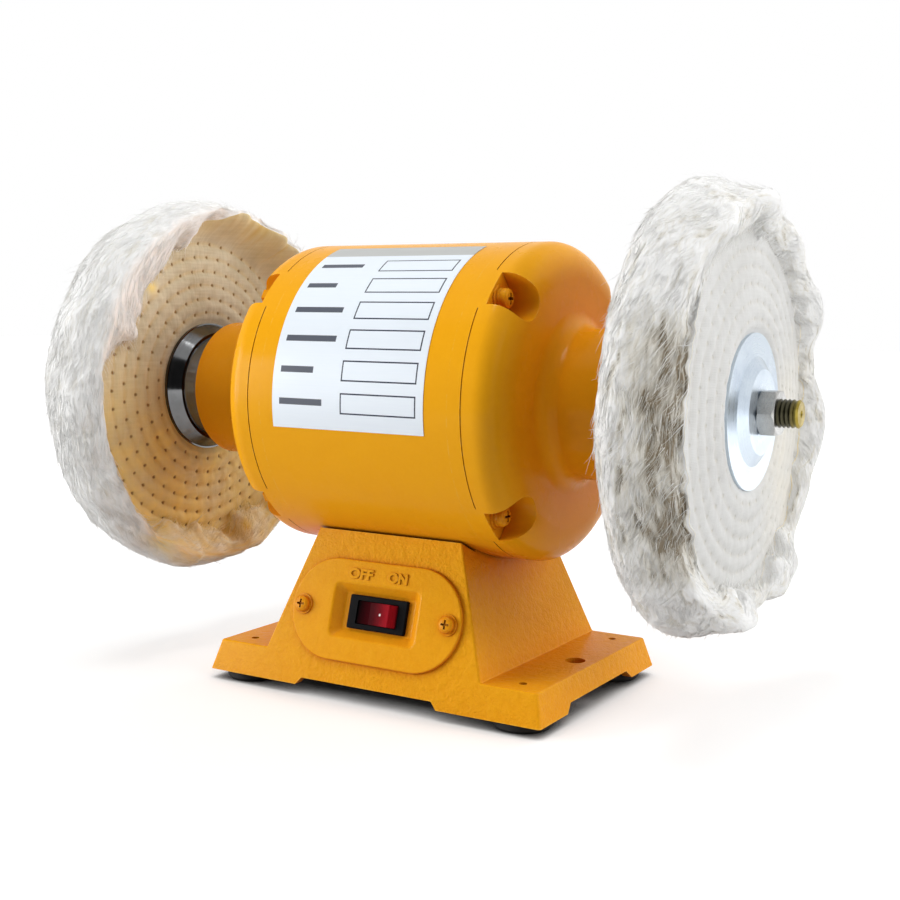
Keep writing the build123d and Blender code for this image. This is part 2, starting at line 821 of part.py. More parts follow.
# Stator: laminations with slots on the inside and a notch for each tie bolt
with BuildPart() as stator_core:
    with BuildSketch(cross_plane(-core_half)):
        Circle(shell_bore_r - slip_fit)
        Circle(stator_bore_r, mode=Mode.SUBTRACT)
        half_pitch = 180 / slot_count
        with PolarLocations(stator_bore_r, slot_count, half_pitch):
            Rectangle(2 * slot_mouth_depth + slot_width, slot_mouth_width, mode=Mode.SUBTRACT)
        with PolarLocations(slot_floor_r + slot_depth / 2, slot_count, half_pitch):
            Rectangle(slot_depth, slot_width, mode=Mode.SUBTRACT)
        with PolarLocations(tie_circle_r, tie_count, tie_start_angle):
            Circle(tie_bolt_r + drill_gap, mode=Mode.SUBTRACT)
        with PolarLocations(tie_circle_r + tie_bolt_inset, tie_count, tie_start_angle):
            Rectangle(2 * tie_bolt_inset, 2 * (tie_bolt_r + drill_gap), mode=Mode.SUBTRACT)
    extrude(amount=core_length)
save(stator_core, "stator_core")

coil_inner_r = slot_floor_r + coil_inset
coil_mid_x = core_half + coil_gap + coil_length / 2
with BuildPart() as stator_windings:
    with BuildSketch(cross_plane(-coil_mid_x)):
        with PolarLocations(slot_floor_r + slot_depth / 2, slot_count, half_pitch):
            Rectangle(slot_depth - 2 * slot_liner, slot_width - 2 * slot_liner)
    extrude(amount=2 * coil_mid_x)
    for side, hand in sides:
        with BuildSketch(shaft_plane):
            with Locations((side * coil_mid_x, (coil_inner_r + coil_outer_r) / 2)):
                RectangleRounded(coil_length, coil_outer_r - coil_inner_r, coil_round)
        revolve(axis=shaft_axis)
save(stator_windings, "stator_windings")


# End bells: cast covers with four bolt pockets and a long hub for the bearing
def make_end_bell(side):
    seat_x = bearing_end_x + (preload_gap if side < 0 else 0)
    groove_from = band_groove_x - band_groove_width / 2
    groove_to = band_groove_x + band_groove_width / 2
    groove_r = motor_r - band_groove_depth
    shoulder_r = motor_r - shoulder_drop
    fillet_mid = hub_fillet * (1 - sqrt(0.5))
    bearing_seat_r = bearing_r + slip_fit
    hub_bore_r = hub_r - hub_wall
    inside_x = bell_end_x - bell_end_wall

    def mirrored(*points):
        return [(side * x, r) for x, r in points]

    with BuildPart() as bell:
        # bosses around the tie bolts, trimmed to the outside of the bell
        with BuildSketch(cross_plane(side * seam_x)):
            with PolarLocations(tie_circle_r, tie_count, tie_start_angle):
                Circle(pocket_r + pocket_wall)
        extrude(amount=side * shoulder_x)
        with BuildSketch(shaft_plane):
            with BuildLine():
                Polyline(*mirrored((seam_x, 0), (seam_x, motor_r), (shoulder_x, motor_r)))
                EllipticalCenterArc(
                    (side * shoulder_x, shoulder_r),
                    shoulder_length,
                    shoulder_drop,
                    start_angle=0 if side > 0 else 90,
                    arc_size=90,
                )
                Polyline(*mirrored((bell_end_x, shoulder_r), (bell_end_x, 0), (seam_x, 0)))
            make_face()
        revolve(axis=shaft_axis, mode=Mode.INTERSECT)
        # the wall of the bell and its hub
        with BuildSketch(shaft_plane):
            with BuildLine():
                Polyline(
                    *mirrored(
                        (seam_x - spigot_length, spigot_bore_r),
                        (seam_x - spigot_length, shell_bore_r - slip_fit),
                        (seam_x, shell_bore_r - slip_fit),
                        (seam_x, motor_r),
                        (groove_from, motor_r),
                        (groove_from, groove_r),
                        (groove_to, groove_r),
                        (groove_to, motor_r),
                        (shoulder_x, motor_r),
                    )
                )
                EllipticalCenterArc(
                    (side * shoulder_x, shoulder_r),
                    shoulder_length,
                    shoulder_drop,
                    start_angle=0 if side > 0 else 90,
                    arc_size=90,
                )
                Line(*mirrored((bell_end_x, shoulder_r), (bell_end_x, hub_r + hub_fillet)))
                ThreePointArc(
                    *mirrored(
                        (bell_end_x, hub_r + hub_fillet),
                        (bell_end_x + fillet_mid, hub_r + fillet_mid),
                        (bell_end_x + hub_fillet, hub_r),
                    )
                )
                Polyline(
                    *mirrored(
                        (bell_end_x + hub_fillet, hub_r),
                        (hub_end_x - hub_edge, hub_r),
                        (hub_end_x, hub_r - hub_edge),
                        (hub_end_x, seal_r),
                        (seat_x, seal_r),
                        (seat_x, bearing_seat_r),
                        (bearing_x - bearing_lead_in, bearing_seat_r),
                        (bearing_x - bearing_lead_in, hub_bore_r),
                        (inside_x, hub_bore_r),
                        (inside_x, spigot_bore_r - bell_inner_chamfer),
                        (inside_x - bell_inner_chamfer, spigot_bore_r),
                        (seam_x - spigot_length, spigot_bore_r),
                    )
                )
            make_face()
        revolve(axis=shaft_axis)
        # round-bottomed pockets, open outwards, and the bolt holes
        with BuildSketch(cross_plane(side * pocket_seat_x)):
            with PolarLocations(tie_circle_r, tie_count, tie_start_angle):
                Circle(pocket_r)
            with PolarLocations(tie_circle_r + pocket_r, tie_count, tie_start_angle):
                Rectangle(2 * pocket_r, 2 * pocket_r)
        extrude(amount=side * shoulder_x, mode=Mode.SUBTRACT)
        with BuildSketch(cross_plane(0)):
            with PolarLocations(tie_circle_r, tie_count, tie_start_angle):
                Circle(tie_bolt_r + drill_gap)
        extrude(amount=side * bell_end_x, mode=Mode.SUBTRACT)
    return bell


for side, hand in sides:
    save(make_end_bell(side), f"{hand}_end_bell")

# Tie bolts: heads in the right bell's pockets, nuts in the left bell's
tie_stack_x = pocket_seat_x + tie_washer + lock_washer
tie_angles = [radians(tie_start_angle + 360 / tie_count * index) for index in range(tie_count)]
tie_places = [(tie_circle_r * cos(angle), tie_circle_r * sin(angle)) for angle in tie_angles]

with BuildPart() as tie_bolts:
    for y, z in tie_places:
        seat = moved(cross_plane(tie_stack_x), y, z)
        add_pan_screw(seat, tie_bolt_r, 2 * tie_stack_x + tie_nut + tie_tip, tie_head_r, tie_head)
save(tie_bolts, "tie_bolts")

with BuildPart() as tie_bolt_nuts:
    for y, z in tie_places:
        add_hexagon(moved(cross_plane(-tie_stack_x), y, z), tie_nut_flats, -tie_nut, tie_bolt_r + slip_fit)
save(tie_bolt_nuts, "tie_bolt_nuts")

with BuildPart() as tie_bolt_washers:
    for side, hand in sides:
        for y, z in tie_places:
            seat = moved(cross_plane(side * pocket_seat_x), y, z)
            add_ring(seat, tie_washer_r, tie_bolt_r + drill_gap, side * tie_washer)
save(tie_bolt_washers, "tie_bolt_washers")

with BuildPart() as tie_bolt_lock_washers:
    for side, hand in sides:
        for y, z in tie_places:
            seat = moved(cross_plane(side * (pocket_seat_x + tie_washer)), y, z)
            add_ring(seat, lock_washer_r, tie_bolt_r + drill_gap, side * lock_washer)
save(tie_bolt_lock_washers, "tie_bolt_lock_washers")

# Ball bearings: the outer ring sits in the hub, the inner ring, balls and cage run with the shaft
race_r = ball_r + running_fit


def turn_box(side, from_x, to_x, inner_r, outer_r):
    from_x = side * from_x
    to_x = side * to_x
    turn([(from_x, inner_r), (to_x, inner_r), (to_x, outer_r), (from_x, outer_r)])


def cut_race(side):
    with BuildSketch(shaft_plane) as race:
        with Locations((side * bearing_mid_x, ball_circle_r)):
            Circle(race_r)
    revolve(race.sketch, axis=shaft_axis, mode=Mode.SUBTRACT)


for side, hand in sides:
    with BuildPart() as bearing_outer_ring:
        turn_box(side, bearing_x, bearing_end_x, ball_circle_r + land_height, bearing_r)
        cut_race(side)
    save(bearing_outer_ring, f"{hand}_bearing_outer_ring")

    with BuildPart() as bearing_inner_ring:
        turn_box(side, bearing_x, bearing_end_x, journal_r + slip_fit, ball_circle_r - land_height)
        cut_race(side)
    save(bearing_inner_ring, f"{hand}_bearing_inner_ring")

    with BuildPart() as bearing_balls:
        with Locations(cross_plane(side * bearing_mid_x)):
            with PolarLocations(ball_circle_r, ball_count):
                Sphere(ball_r)
    save(bearing_balls, f"{hand}_bearing_balls")

    with BuildPart() as bearing_cage:
        cage_from = bearing_mid_x - cage_width / 2
        cage_inner_r = ball_circle_r - cage_wall / 2
        turn_box(side, cage_from, cage_from + cage_width, cage_inner_r, cage_inner_r + cage_wall)
        with Locations(cross_plane(side * bearing_mid_x)):
            with PolarLocations(ball_circle_r, ball_count):
                Cylinder(ball_r + cage_gap, 4 * cage_wall, rotation=(0, 90, 0), mode=Mode.SUBTRACT)
    save(bearing_cage, f"{hand}_bearing_cage")

    with BuildPart() as dust_seal:
        seal_to = hub_end_x - seal_inset
        turn_box(side, seal_to - seal_width, seal_to, journal_r + turning_gap, seal_r - slip_fit)
    save(dust_seal, f"{hand}_dust_seal")

# Preload spring, behind the left bearing's outer ring
with BuildPart() as bearing_preload_spring:
    turn_box(-1, bearing_end_x, bearing_end_x + preload_gap, bearing_r - preload_wall, bearing_r)
save(bearing_preload_spring, "bearing_preload_spring")

# Shaft, the same from the middle to both ends
thread_from = arbor_tip_x - arbor_chamfer - thread_length
thread_outline = []
for turn_index in range(int(thread_length / thread_pitch)):
    groove_x = thread_from + thread_pitch * turn_index
    thread_outline += [(groove_x, arbor_r), (groove_x + thread_pitch / 2, arbor_r - thread_depth)]
rotor_seat_x = core_half + end_ring_length + rotor_seat_end
half_shaft = [
    (rotor_seat_x, rotor_seat_r),
    (rotor_seat_x, journal_r + journal_shoulder),
    (bearing_x, journal_r + journal_shoulder),
    (bearing_x, journal_r),
    (arbor_x, journal_r),
    (arbor_x, arbor_r),
    *thread_outline,
    (arbor_tip_x - arbor_chamfer, arbor_r),
    (arbor_tip_x, arbor_r - arbor_chamfer),
    (arbor_tip_x, 0),
]
with BuildPart() as rotor_shaft:
    turn([(-x, r) for x, r in reversed(half_shaft)] + half_shaft)
    for side, hand in sides:
        tip = Plane(origin=(side * arbor_tip_x, 0, axis_z), x_dir=(0, 1, 0), z_dir=(side, 0, 0))
        turn_about(tip, [(0, -centre_hole_depth), (centre_hole_r, 0), (0, 0)], mode=Mode.SUBTRACT)
save(rotor_shaft, "rotor_shaft")

# Rotor: laminations on the shaft between two cast rings
with BuildPart() as rotor_core:
    turn_box(1, -core_half, core_half, rotor_seat_r + slip_fit, rotor_r)
save(rotor_core, "rotor_core")

with BuildPart() as rotor_end_rings:
    for side, hand in sides:
        turn_box(side, core_half, core_half + end_ring_length, end_ring_bore_r, rotor_r - end_ring_inset)
save(rotor_end_rings, "rotor_end_rings")

# Flanges, buffing wheels and nuts
inner_cone_x = clamp_in_x - inner_lip - inner_cone_length
inner_flange_outline = [
    (arbor_x, arbor_bore_r),
    (arbor_x, inner_back_r - inner_back_edge),
    (arbor_x + inner_back_edge, inner_back_r),
    (inner_cone_x, inner_cone_r - inner_step),
    (inner_cone_x, inner_cone_r),
    (clamp_in_x - inner_lip, clamp_flange_r - inner_lip_step),
    (clamp_in_x - inner_lip, clamp_flange_r),
    (clamp_in_x, clamp_flange_r),
    (clamp_in_x, arbor_bore_r),
]
crown_x = clamp_out_x + outer_flange_dish
outer_flange_outline = [
    (clamp_out_x, clamp_flange_r),
    (clamp_out_x + outer_flange_wall, clamp_flange_r),
    (clamp_out_x + outer_flange_wall + outer_rim_rise, outer_crease_r),
    (crown_x, outer_crown_r),
    (crown_x, arbor_bore_r),
    (crown_x - outer_flange_wall, arbor_bore_r),
    (crown_x - outer_flange_wall, outer_crown_r),
    (clamp_out_x + outer_rim_rise, outer_crease_r),
    (clamp_out_x, clamp_flange_r - outer_seat_width),
]


def wheel_face(reach, sewn):
    # (distance past the clamped face, radius): sewn rings with channels, then the loose rim
    points = [(0, clamp_flange_r)]
    for ring in range(stitch_rings):
        stitch_r = stitch_first_r + stitch_pitch * ring
        height = wheel_swell - (wheel_swell + sewn) * ring / (stitch_rings - 1)
        for offset, dip in ((-stitch_half_width, 0), (0, stitch_depth), (stitch_half_width, 0)):
            points.append((height - dip, stitch_r + offset))
    points.append((reach, wheel_rim_r))
    points.append((reach, wheel_r - wheel_rim_round))
    points.append((reach - wheel_rim_round, wheel_r))
    return points


wheel_outline = [(clamp_in_x, arbor_bore_r)]
wheel_outline += [(clamp_in_x - past, r) for past, r in wheel_face(wheel_rim_in, wheel_sewn_in)]
wheel_outline += [(clamp_out_x + past, r) for past, r in reversed(wheel_face(wheel_rim_out, wheel_sewn_out))]
wheel_outline += [(clamp_out_x, arbor_bore_r)]
nut_corner_r = nut_flats / sqrt(3)
nut_end_x = nut_x + nut_thickness
nut_outline = [
    (nut_x, 0),
    (nut_x, nut_flats / 2),
    (nut_x + nut_chamfer, nut_corner_r),
    (nut_end_x - nut_chamfer, nut_corner_r),
    (nut_end_x, nut_flats / 2),
    (nut_end_x, 0),
]

for side, hand in sides:
    with BuildPart() as inner_flange:
        turn([(side * x, r) for x, r in inner_flange_outline])
    save(inner_flange, f"{hand}_inner_flange")

    with BuildPart() as buffing_wheel:
        turn([(side * x, r) for x, r in wheel_outline])
    save(buffing_wheel, f"{hand}_buffing_wheel")

    with BuildPart() as outer_flange:
        turn([(side * x, r) for x, r in outer_flange_outline])
    save(outer_flange, f"{hand}_outer_flange")

    with BuildPart() as arbor_nut:
        add_hexagon(cross_plane(side * nut_x), nut_flats, side * nut_thickness, 0)
        turn([(side * x, r) for x, r in nut_outline], mode=Mode.INTERSECT)
        drill(cross_plane(0), [(0, 0)], arbor_bore_r, side * 2 * nut_x)
    save(arbor_nut, f"{hand}_arbor_nut")

# Rating plate: thin foil round the front of the shell
with BuildPart() as rating_plate:
    foil_r = motor_r + slip_fit / 2
    from_angle = 180 - label_to_angle
    sweep_angle = label_to_angle - label_from_angle
    with BuildSketch(cross_plane(label_from_x)):
        with BuildLine():
            inside = CenterArc((0, 0), foil_r, from_angle, sweep_angle)
            outside = CenterArc((0, 0), foil_r + label_thickness, from_angle, sweep_angle)
            Line(inside @ 0, outside @ 0)
            Line(inside @ 1, outside @ 1)
        make_face()
    extrude(amount=label_to_x - label_from_x)
save(rating_plate, "rating_plate")

# Motor leads: down a sleeve through the saddle, to the capacitor and the switch
winding_reach_r = max(coil_outer_r, slot_floor_r + slot_depth)
lead_top_z = axis_z - sqrt(winding_reach_r**2 - (lead_hole_y - lead_r) ** 2) - lead_touch
sleeve_top_z = axis_z - sqrt(shell_bore_r**2 - lead_hole_y**2) + sleeve_overhang
sleeve_low_z = axis_z - sqrt((motor_r + saddle_web) ** 2 - lead_hole_y**2) - sleeve_overhang
sleeve_r = lead_hole_r - slip_fit

with BuildPart() as lead_sleeve:
    sleeve_plane = Plane(origin=(*lead_place, sleeve_low_z))
    add_ring(sleeve_plane, sleeve_r, sleeve_r - sleeve_wall, sleeve_top_z - sleeve_low_z)
save(lead_sleeve, "lead_sleeve")


def terminal_tip(x):
    return housing_back.from_local_coords((x, 0, -terminal_length - lead_touch))


def terminal_approach(x):
    return housing_back.from_local_coords((x, 0, -terminal_length - lead_straight))


tab_tip_x = capacitor_end_x + capacitor_tab_length + lead_touch
tab_turn_x = tab_tip_x + lead_straight
tab_near_y = capacitor_y - capacitor_tab_spacing / 2
tab_far_y = capacitor_y + capacitor_tab_spacing / 2
lead_left_x = lead_place[0] - lead_spacing / 2
lead_right_x = lead_place[0] + lead_spacing / 2
lead_drop_z = sleeve_low_z - lead_straight
lead_routes = [
    [
        Vector(lead_left_x, lead_hole_y, lead_top_z),
        Vector(lead_left_x, lead_hole_y, lead_drop_z),
        Vector(tab_turn_x, tab_far_y, capacitor_z),
        Vector(tab_tip_x, tab_far_y, capacitor_z),
    ],
    [
        Vector(lead_right_x, lead_hole_y, lead_top_z),
        Vector(lead_right_x, lead_hole_y, lead_drop_z),
        Vector(26, 2, 40),
        terminal_approach(terminal_pitch),
        terminal_tip(terminal_pitch),
    ],
    [
        Vector(tab_tip_x, tab_near_y, capacitor_z),
        Vector(tab_turn_x, tab_near_y, capacitor_z),
        Vector(26, -9, 28),
        terminal_approach(0),
        terminal_tip(0),
    ],
]


def bend_radii(points):
    # each bend as large as its two runs allow
    radii = []
    for before, corner, after in zip(points, points[1:], points[2:]):
        run_in = corner - before
        run_out = after - corner
        half_turn = radians(run_in.get_angle(run_out) / 2)
        radii.append(0.45 * min(run_in.length, run_out.length) / tan(half_turn))
    return radii


with BuildPart() as motor_leads:
    for route in lead_routes:
        radii = bend_radii(route)
        with BuildLine() as path:
            FilletPolyline(*route, radius=radii)
        with BuildSketch(Plane(origin=route[0], z_dir=route[1] - route[0])):
            Circle(lead_r)
        sweep(path=path.line)
        print("lead bends", [round(radius, 1) for radius in radii])
save(motor_leads, "motor_leads")
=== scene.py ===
import json
import math
import random

import bmesh
import bpy
import numpy as np
from mathutils import Matrix, Vector, noise
from mathutils.bvhtree import BVHTree


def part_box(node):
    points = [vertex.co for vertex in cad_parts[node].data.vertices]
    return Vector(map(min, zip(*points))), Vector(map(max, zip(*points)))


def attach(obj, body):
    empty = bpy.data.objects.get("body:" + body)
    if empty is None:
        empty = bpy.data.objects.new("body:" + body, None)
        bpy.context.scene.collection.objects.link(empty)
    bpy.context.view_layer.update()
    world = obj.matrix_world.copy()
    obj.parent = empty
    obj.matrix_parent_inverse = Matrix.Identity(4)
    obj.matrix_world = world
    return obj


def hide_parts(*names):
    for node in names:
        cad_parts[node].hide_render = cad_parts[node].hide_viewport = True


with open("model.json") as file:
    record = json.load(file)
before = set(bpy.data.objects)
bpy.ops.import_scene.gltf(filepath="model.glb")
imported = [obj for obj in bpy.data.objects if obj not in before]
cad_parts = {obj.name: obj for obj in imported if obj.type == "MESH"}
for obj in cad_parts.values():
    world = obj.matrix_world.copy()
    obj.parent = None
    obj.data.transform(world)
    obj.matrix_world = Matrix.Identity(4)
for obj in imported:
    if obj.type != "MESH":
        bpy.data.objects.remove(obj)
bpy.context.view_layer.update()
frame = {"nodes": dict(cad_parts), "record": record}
nodes = frame["nodes"]
joints = {joint["name"]: joint for joint in frame["record"]["behaviour"]["joints"]}
materials = bpy.data.materials
mm = 0.001
sides = {"left": -1, "right": 1}
motorLow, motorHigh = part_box("motor_shell")
motorRadius = (motorHigh.z - motorLow.z) / 2
axisHeight = (motorLow.z + motorHigh.z) / 2  # height of the shaft's line
print("frame loaded,", len(nodes), "nodes")


def linkObject(name, data):
    made = bpy.data.objects.new(name, data)
    bpy.context.scene.collection.objects.link(made)
    return made


def finishPiece(piece, body, slot, *replaced):
    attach(piece, body)
    if replaced:
        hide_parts(*replaced)


# Camera
cameraView = {
    "place": (0.3496, -0.5686, 0.1874),
    "yaw": 30.97,  # degrees to the right of straight ahead
    "pitch": 6.05,  # degrees down
    "roll": 0.5,
    "lens": 53.0, "sensor": 36.0,
    "nearest": 0.01,
}


def addCamera(view):
    yaw, pitch, roll = (math.radians(view[name]) for name in ("yaw", "pitch", "roll"))
    back = Vector((math.sin(yaw) * math.cos(pitch), -math.cos(yaw) * math.cos(pitch), math.sin(pitch)))
    level = Vector((math.cos(yaw), math.sin(yaw), 0))
    upright = back.cross(level)
    right = level * math.cos(roll) + upright * math.sin(roll)
    up = upright * math.cos(roll) - level * math.sin(roll)
    camera = linkObject("camera", bpy.data.cameras.new("camera"))
    camera.data.lens = view["lens"]
    camera.data.sensor_width = view["sensor"]
    camera.data.clip_start = view["nearest"]
    turned = Matrix((right, up, back)).transposed().to_4x4()
    camera.matrix_world = Matrix.Translation(view["place"]) @ turned
    bpy.context.scene.camera = camera


addCamera(cameraView)
bpy.context.scene.view_settings.view_transform = "Standard"


# Small helpers for node trees
def setSocket(tree, socket, value):
    if isinstance(value, bpy.types.NodeSocket):
        tree.links.new(value, socket)
    else:
        socket.default_value = value


def dress(tree, sockets, **values):
    for name, value in values.items():
        setSocket(tree, sockets[name.replace("_", " ")], value)


def addNode(tree, kind, inputs=None, **settings):
    node = tree.nodes.new(kind)
    for name, value in settings.items():
        setattr(node, name, value)
    for key, value in (inputs or {}).items():
        setSocket(tree, node.inputs[key], value)
    return node


def calc(tree, operation, *values):
    return addNode(tree, "ShaderNodeMath", dict(enumerate(values)), operation=operation).outputs[0]


def plus(tree, first, second):
    return calc(tree, "ADD", first, second)


def minus(tree, first, second):
    return calc(tree, "SUBTRACT", first, second)


def times(tree, first, second):
    return calc(tree, "MULTIPLY", first, second)


def over(tree, first, second):
    return calc(tree, "DIVIDE", first, second)


def hypotenuse(tree, first, second):
    return calc(tree, "SQRT", plus(tree, times(tree, first, first), times(tree, second, second)))


def vectorNode(tree, operation, values):
    return addNode(tree, "ShaderNodeVectorMath", dict(enumerate(values)), operation=operation).outputs


def vectorCalc(tree, operation, *values):
    return vectorNode(tree, operation, values)["Vector"]


def measure(tree, operation, *values):
    return vectorNode(tree, operation, values)["Value"]


def partsOf(tree, vector):
    return addNode(tree, "ShaderNodeSeparateXYZ", {0: vector}).outputs


def joined(tree, x, y, z):
    return addNode(tree, "ShaderNodeCombineXYZ", {0: x, 1: y, 2: z}).outputs[0]


def mixColour(tree, factor, first, second):
    return addNode(tree, "ShaderNodeMix", {0: factor, 6: first, 7: second}, data_type="RGBA").outputs[2]


def spread(tree, value, fromLow, fromHigh, toLow=0.0, toHigh=1.0):
    inputs = {0: value, 1: fromLow, 2: fromHigh, 3: toLow, 4: toHigh}
    return addNode(tree, "ShaderNodeMapRange", inputs).outputs[0]


def shadesOf(tree, value, stops):
    # a ramp through the given places and colours
    ramp = addNode(tree, "ShaderNodeValToRGB", {0: value})
    elements = ramp.color_ramp.elements
    for element, (place, shade) in zip(elements, (stops[0], stops[-1])):
        element.position, element.color = place, shade
    for place, shade in stops[1:-1]:
        elements.new(place).color = shade
    return ramp.outputs[0]


def noiseAt(tree, place, scale, detail=3.0, roughness=0.5):
    inputs = {"Vector": place, "Scale": scale, "Detail": detail, "Roughness": roughness}
    return addNode(tree, "ShaderNodeTexNoise", inputs).outputs[0]


def blotchesAt(tree, place, scale):
    return noiseAt(tree, place, scale, 4.0, 0.6)


def objectPlace(tree):
    return addNode(tree, "ShaderNodeTexCoord").outputs["Object"]


def attributeAt(tree, name):
    return addNode(tree, "ShaderNodeAttribute", attribute_name=name).outputs["Fac"]


def roundShaft(tree, place):
    # how far a place is along the shaft, behind its line, above its line, and away from it
    along, back, height = partsOf(tree, place)
    rise = minus(tree, height, axisHeight)
    return along, back, rise, hypotenuse(tree, back, rise)


def turnAt(tree, back, rise):
    # the angle round the shaft, from the front upward
    return calc(tree, "ARCTAN2", rise, times(tree, back, -1.0))


def colour(red, green, blue):
    return (red, green, blue, 1.0)


def startGroup(name, inputs, outputs):
    # a shared effect, whose inputs and outputs are plain values
    group = bpy.data.node_groups.new(name, "ShaderNodeTree")
    for label, value in inputs.items():
        socket = group.interface.new_socket(label, in_out="INPUT", socket_type="NodeSocketFloat")
        socket.default_value = value
    for label in outputs:
        group.interface.new_socket(label, in_out="OUTPUT", socket_type="NodeSocketFloat")
    return group, group.nodes.new("NodeGroupInput").outputs, group.nodes.new("NodeGroupOutput").inputs


def useGroup(tree, group, **values):
    node = addNode(tree, "ShaderNodeGroup", node_tree=group)
    dress(tree, node.inputs, **values)
    return node.outputs


def startMaterial(name, **values):
    material = materials.new(name)
    material.use_nodes = True
    tree = material.node_tree
    sockets = tree.nodes["Principled BSDF"].inputs
    dress(tree, sockets, **values)
    return tree, sockets


def bumpInto(tree, sockets, height, strength, distance):
    inputs = {"Height": height, "Strength": strength, "Distance": distance}
    dress(tree, sockets, Normal=addNode(tree, "ShaderNodeBump", inputs).outputs[0])


# Shared surface effects
def makeCastSkin():
    # fine grain, a soft roll and patches of small pits
    inputs = {"Grain": 300.0, "Roll": 90.0, "Pits": 0.5}
    group, enter, leave = startGroup("castSkin", inputs, ["Height", "Shade"])
    place = objectPlace(group)
    grain = noiseAt(group, place, enter["Grain"], 2.0, 0.55)
    roll = noiseAt(group, place, enter["Roll"], 2.0)
    cells = addNode(group, "ShaderNodeTexVoronoi", {"Vector": place, "Scale": enter["Grain"]})
    pits = times(group, spread(group, cells.outputs["Distance"], 0.0, 0.32, 1.0, 0.0), enter["Pits"])
    patch = spread(group, noiseAt(group, place, 38.0), 0.48, 0.62)
    height = plus(group, times(group, grain, 0.6), times(group, roll, 0.8))
    shade = spread(group, plus(group, grain, roll), 0.7, 1.3)
    dress(group, leave, Height=minus(group, height, times(group, pits, patch)), Shade=shade)
    return group


def makeEdgeWearAndHighlight():
    # lighter specks along the edges: paint rubbed thin there, and painted edge highlights
    group, enter, leave = startGroup("edgeWearAndHighlight", {"Width": 0.0008}, ["Mask"])
    rounded = addNode(group, "ShaderNodeBevel", {"Radius": enter["Width"]}, samples=4).outputs[0]
    plain = addNode(group, "ShaderNodeNewGeometry").outputs["Normal"]
    edge = spread(group, measure(group, "DOT_PRODUCT", rounded, plain), 0.97, 0.8)
    speckle = spread(group, blotchesAt(group, objectPlace(group), 260.0), 0.46, 0.6)
    dress(group, leave, Mask=times(group, edge, speckle))
    return group


def makeOcclusionShade():
    # places that are hemmed in by others within reach, a mask for painted shade
    group, enter, leave = startGroup("occlusionShade", {"Reach": 0.004, "From": 0.75, "To": 0.25}, ["Mask"])
    light = addNode(group, "ShaderNodeAmbientOcclusion", {"Distance": enter["Reach"]}, samples=6)
    dress(group, leave, Mask=spread(group, light.outputs["AO"], enter["From"], enter["To"]))
    return group


def makeSmudge():
    # a soft cloud between two values
    group, enter, leave = startGroup("smudge", {"Scale": 30.0, "Low": 0.2, "High": 0.4}, ["Value"])
    cloud = noiseAt(group, objectPlace(group), enter["Scale"], 5.0, 0.6)
    dress(group, leave, Value=spread(group, cloud, 0.35, 0.65, enter["Low"], enter["High"]))
    return group


def makeTurning():
    # rings left by a lathe, round the shaft's line
    group, enter, leave = startGroup("turning", {"Rings": 3000.0}, ["Height"])
    along, *_, radius = roundShaft(group, objectPlace(group))
    height = noiseAt(group, joined(group, along, radius, 0.0), enter["Rings"], 2.0, 0.7)
    dress(group, leave, Height=height)
    return group


def makeWeave():
    # plain woven cotton, cut flat across the shaft
    group, enter, leave = startGroup("weave", {"Threads": 1300.0, "Slub": 0.5}, ["Height", "Tone"])
    _, back, height = partsOf(group, objectPlace(group))
    waves, slubs = [], []
    for number, (across, along) in enumerate(((back, height), (height, back)), 1):
        phase = times(group, across, times(group, enter["Threads"], math.pi))
        waves.append(calc(group, "ABSOLUTE", calc(group, "SINE", phase)))
        thread = joined(group, times(group, across, 700.0), times(group, along, 45.0), number)
        slubs.append(noiseAt(group, thread, 1.0, 3.0, 0.6))
    slub = plus(group, *slubs)
    relief = plus(group, times(group, times(group, *waves), 0.35), times(group, slub, enter["Slub"]))
    dress(group, leave, Height=relief, Tone=spread(group, slub, 0.75, 1.25))
    return group


def makeCombed():
    # cotton fibre lying round the shaft's line, gathered in wavy streaks
    inputs = {"Fine": 900.0, "Long": 9.0, "Warp": 0.006}
    group, enter, leave = startGroup("combed", inputs, ["Height", "Tone"])
    place = objectPlace(group)
    along, back, rise, radius = roundShaft(group, place)
    sway = times(group, minus(group, noiseAt(group, place, 70.0), 0.5), enter["Warp"])
    across = times(group, plus(group, along, sway), enter["Fine"])
    depth = times(group, minus(group, radius, sway), enter["Fine"])
    turnBack = times(group, over(group, back, radius), enter["Long"])
    turnUp = times(group, over(group, rise, radius), enter["Long"])
    spot = joined(group, across, depth, turnBack)
    inputs = {"Vector": spot, "W": turnUp, "Scale": 1.0, "Detail": 3.0, "Roughness": 0.6}
    fibre = addNode(group, "ShaderNodeTexNoise", inputs, noise_dimensions="4D").outputs[0]
    dress(group, leave, Height=fibre, Tone=spread(group, fibre, 0.3, 0.7))
    return group


def hemmedIn(tree, reach, start, full):
    # a mask for painted shade
    return useGroup(tree, occlusionShade, Reach=reach, From=start, To=full)["Mask"]


def smudged(tree, scale, low, high):
    return useGroup(tree, smudge, Scale=scale, Low=low, High=high)["Value"]


castSkin = makeCastSkin()
edgeWearAndHighlight = makeEdgeWearAndHighlight()
occlusionShade = makeOcclusionShade()
smudge = makeSmudge()
turning = makeTurning()
weave = makeWeave()
combed = makeCombed()
print("surface effects ready")


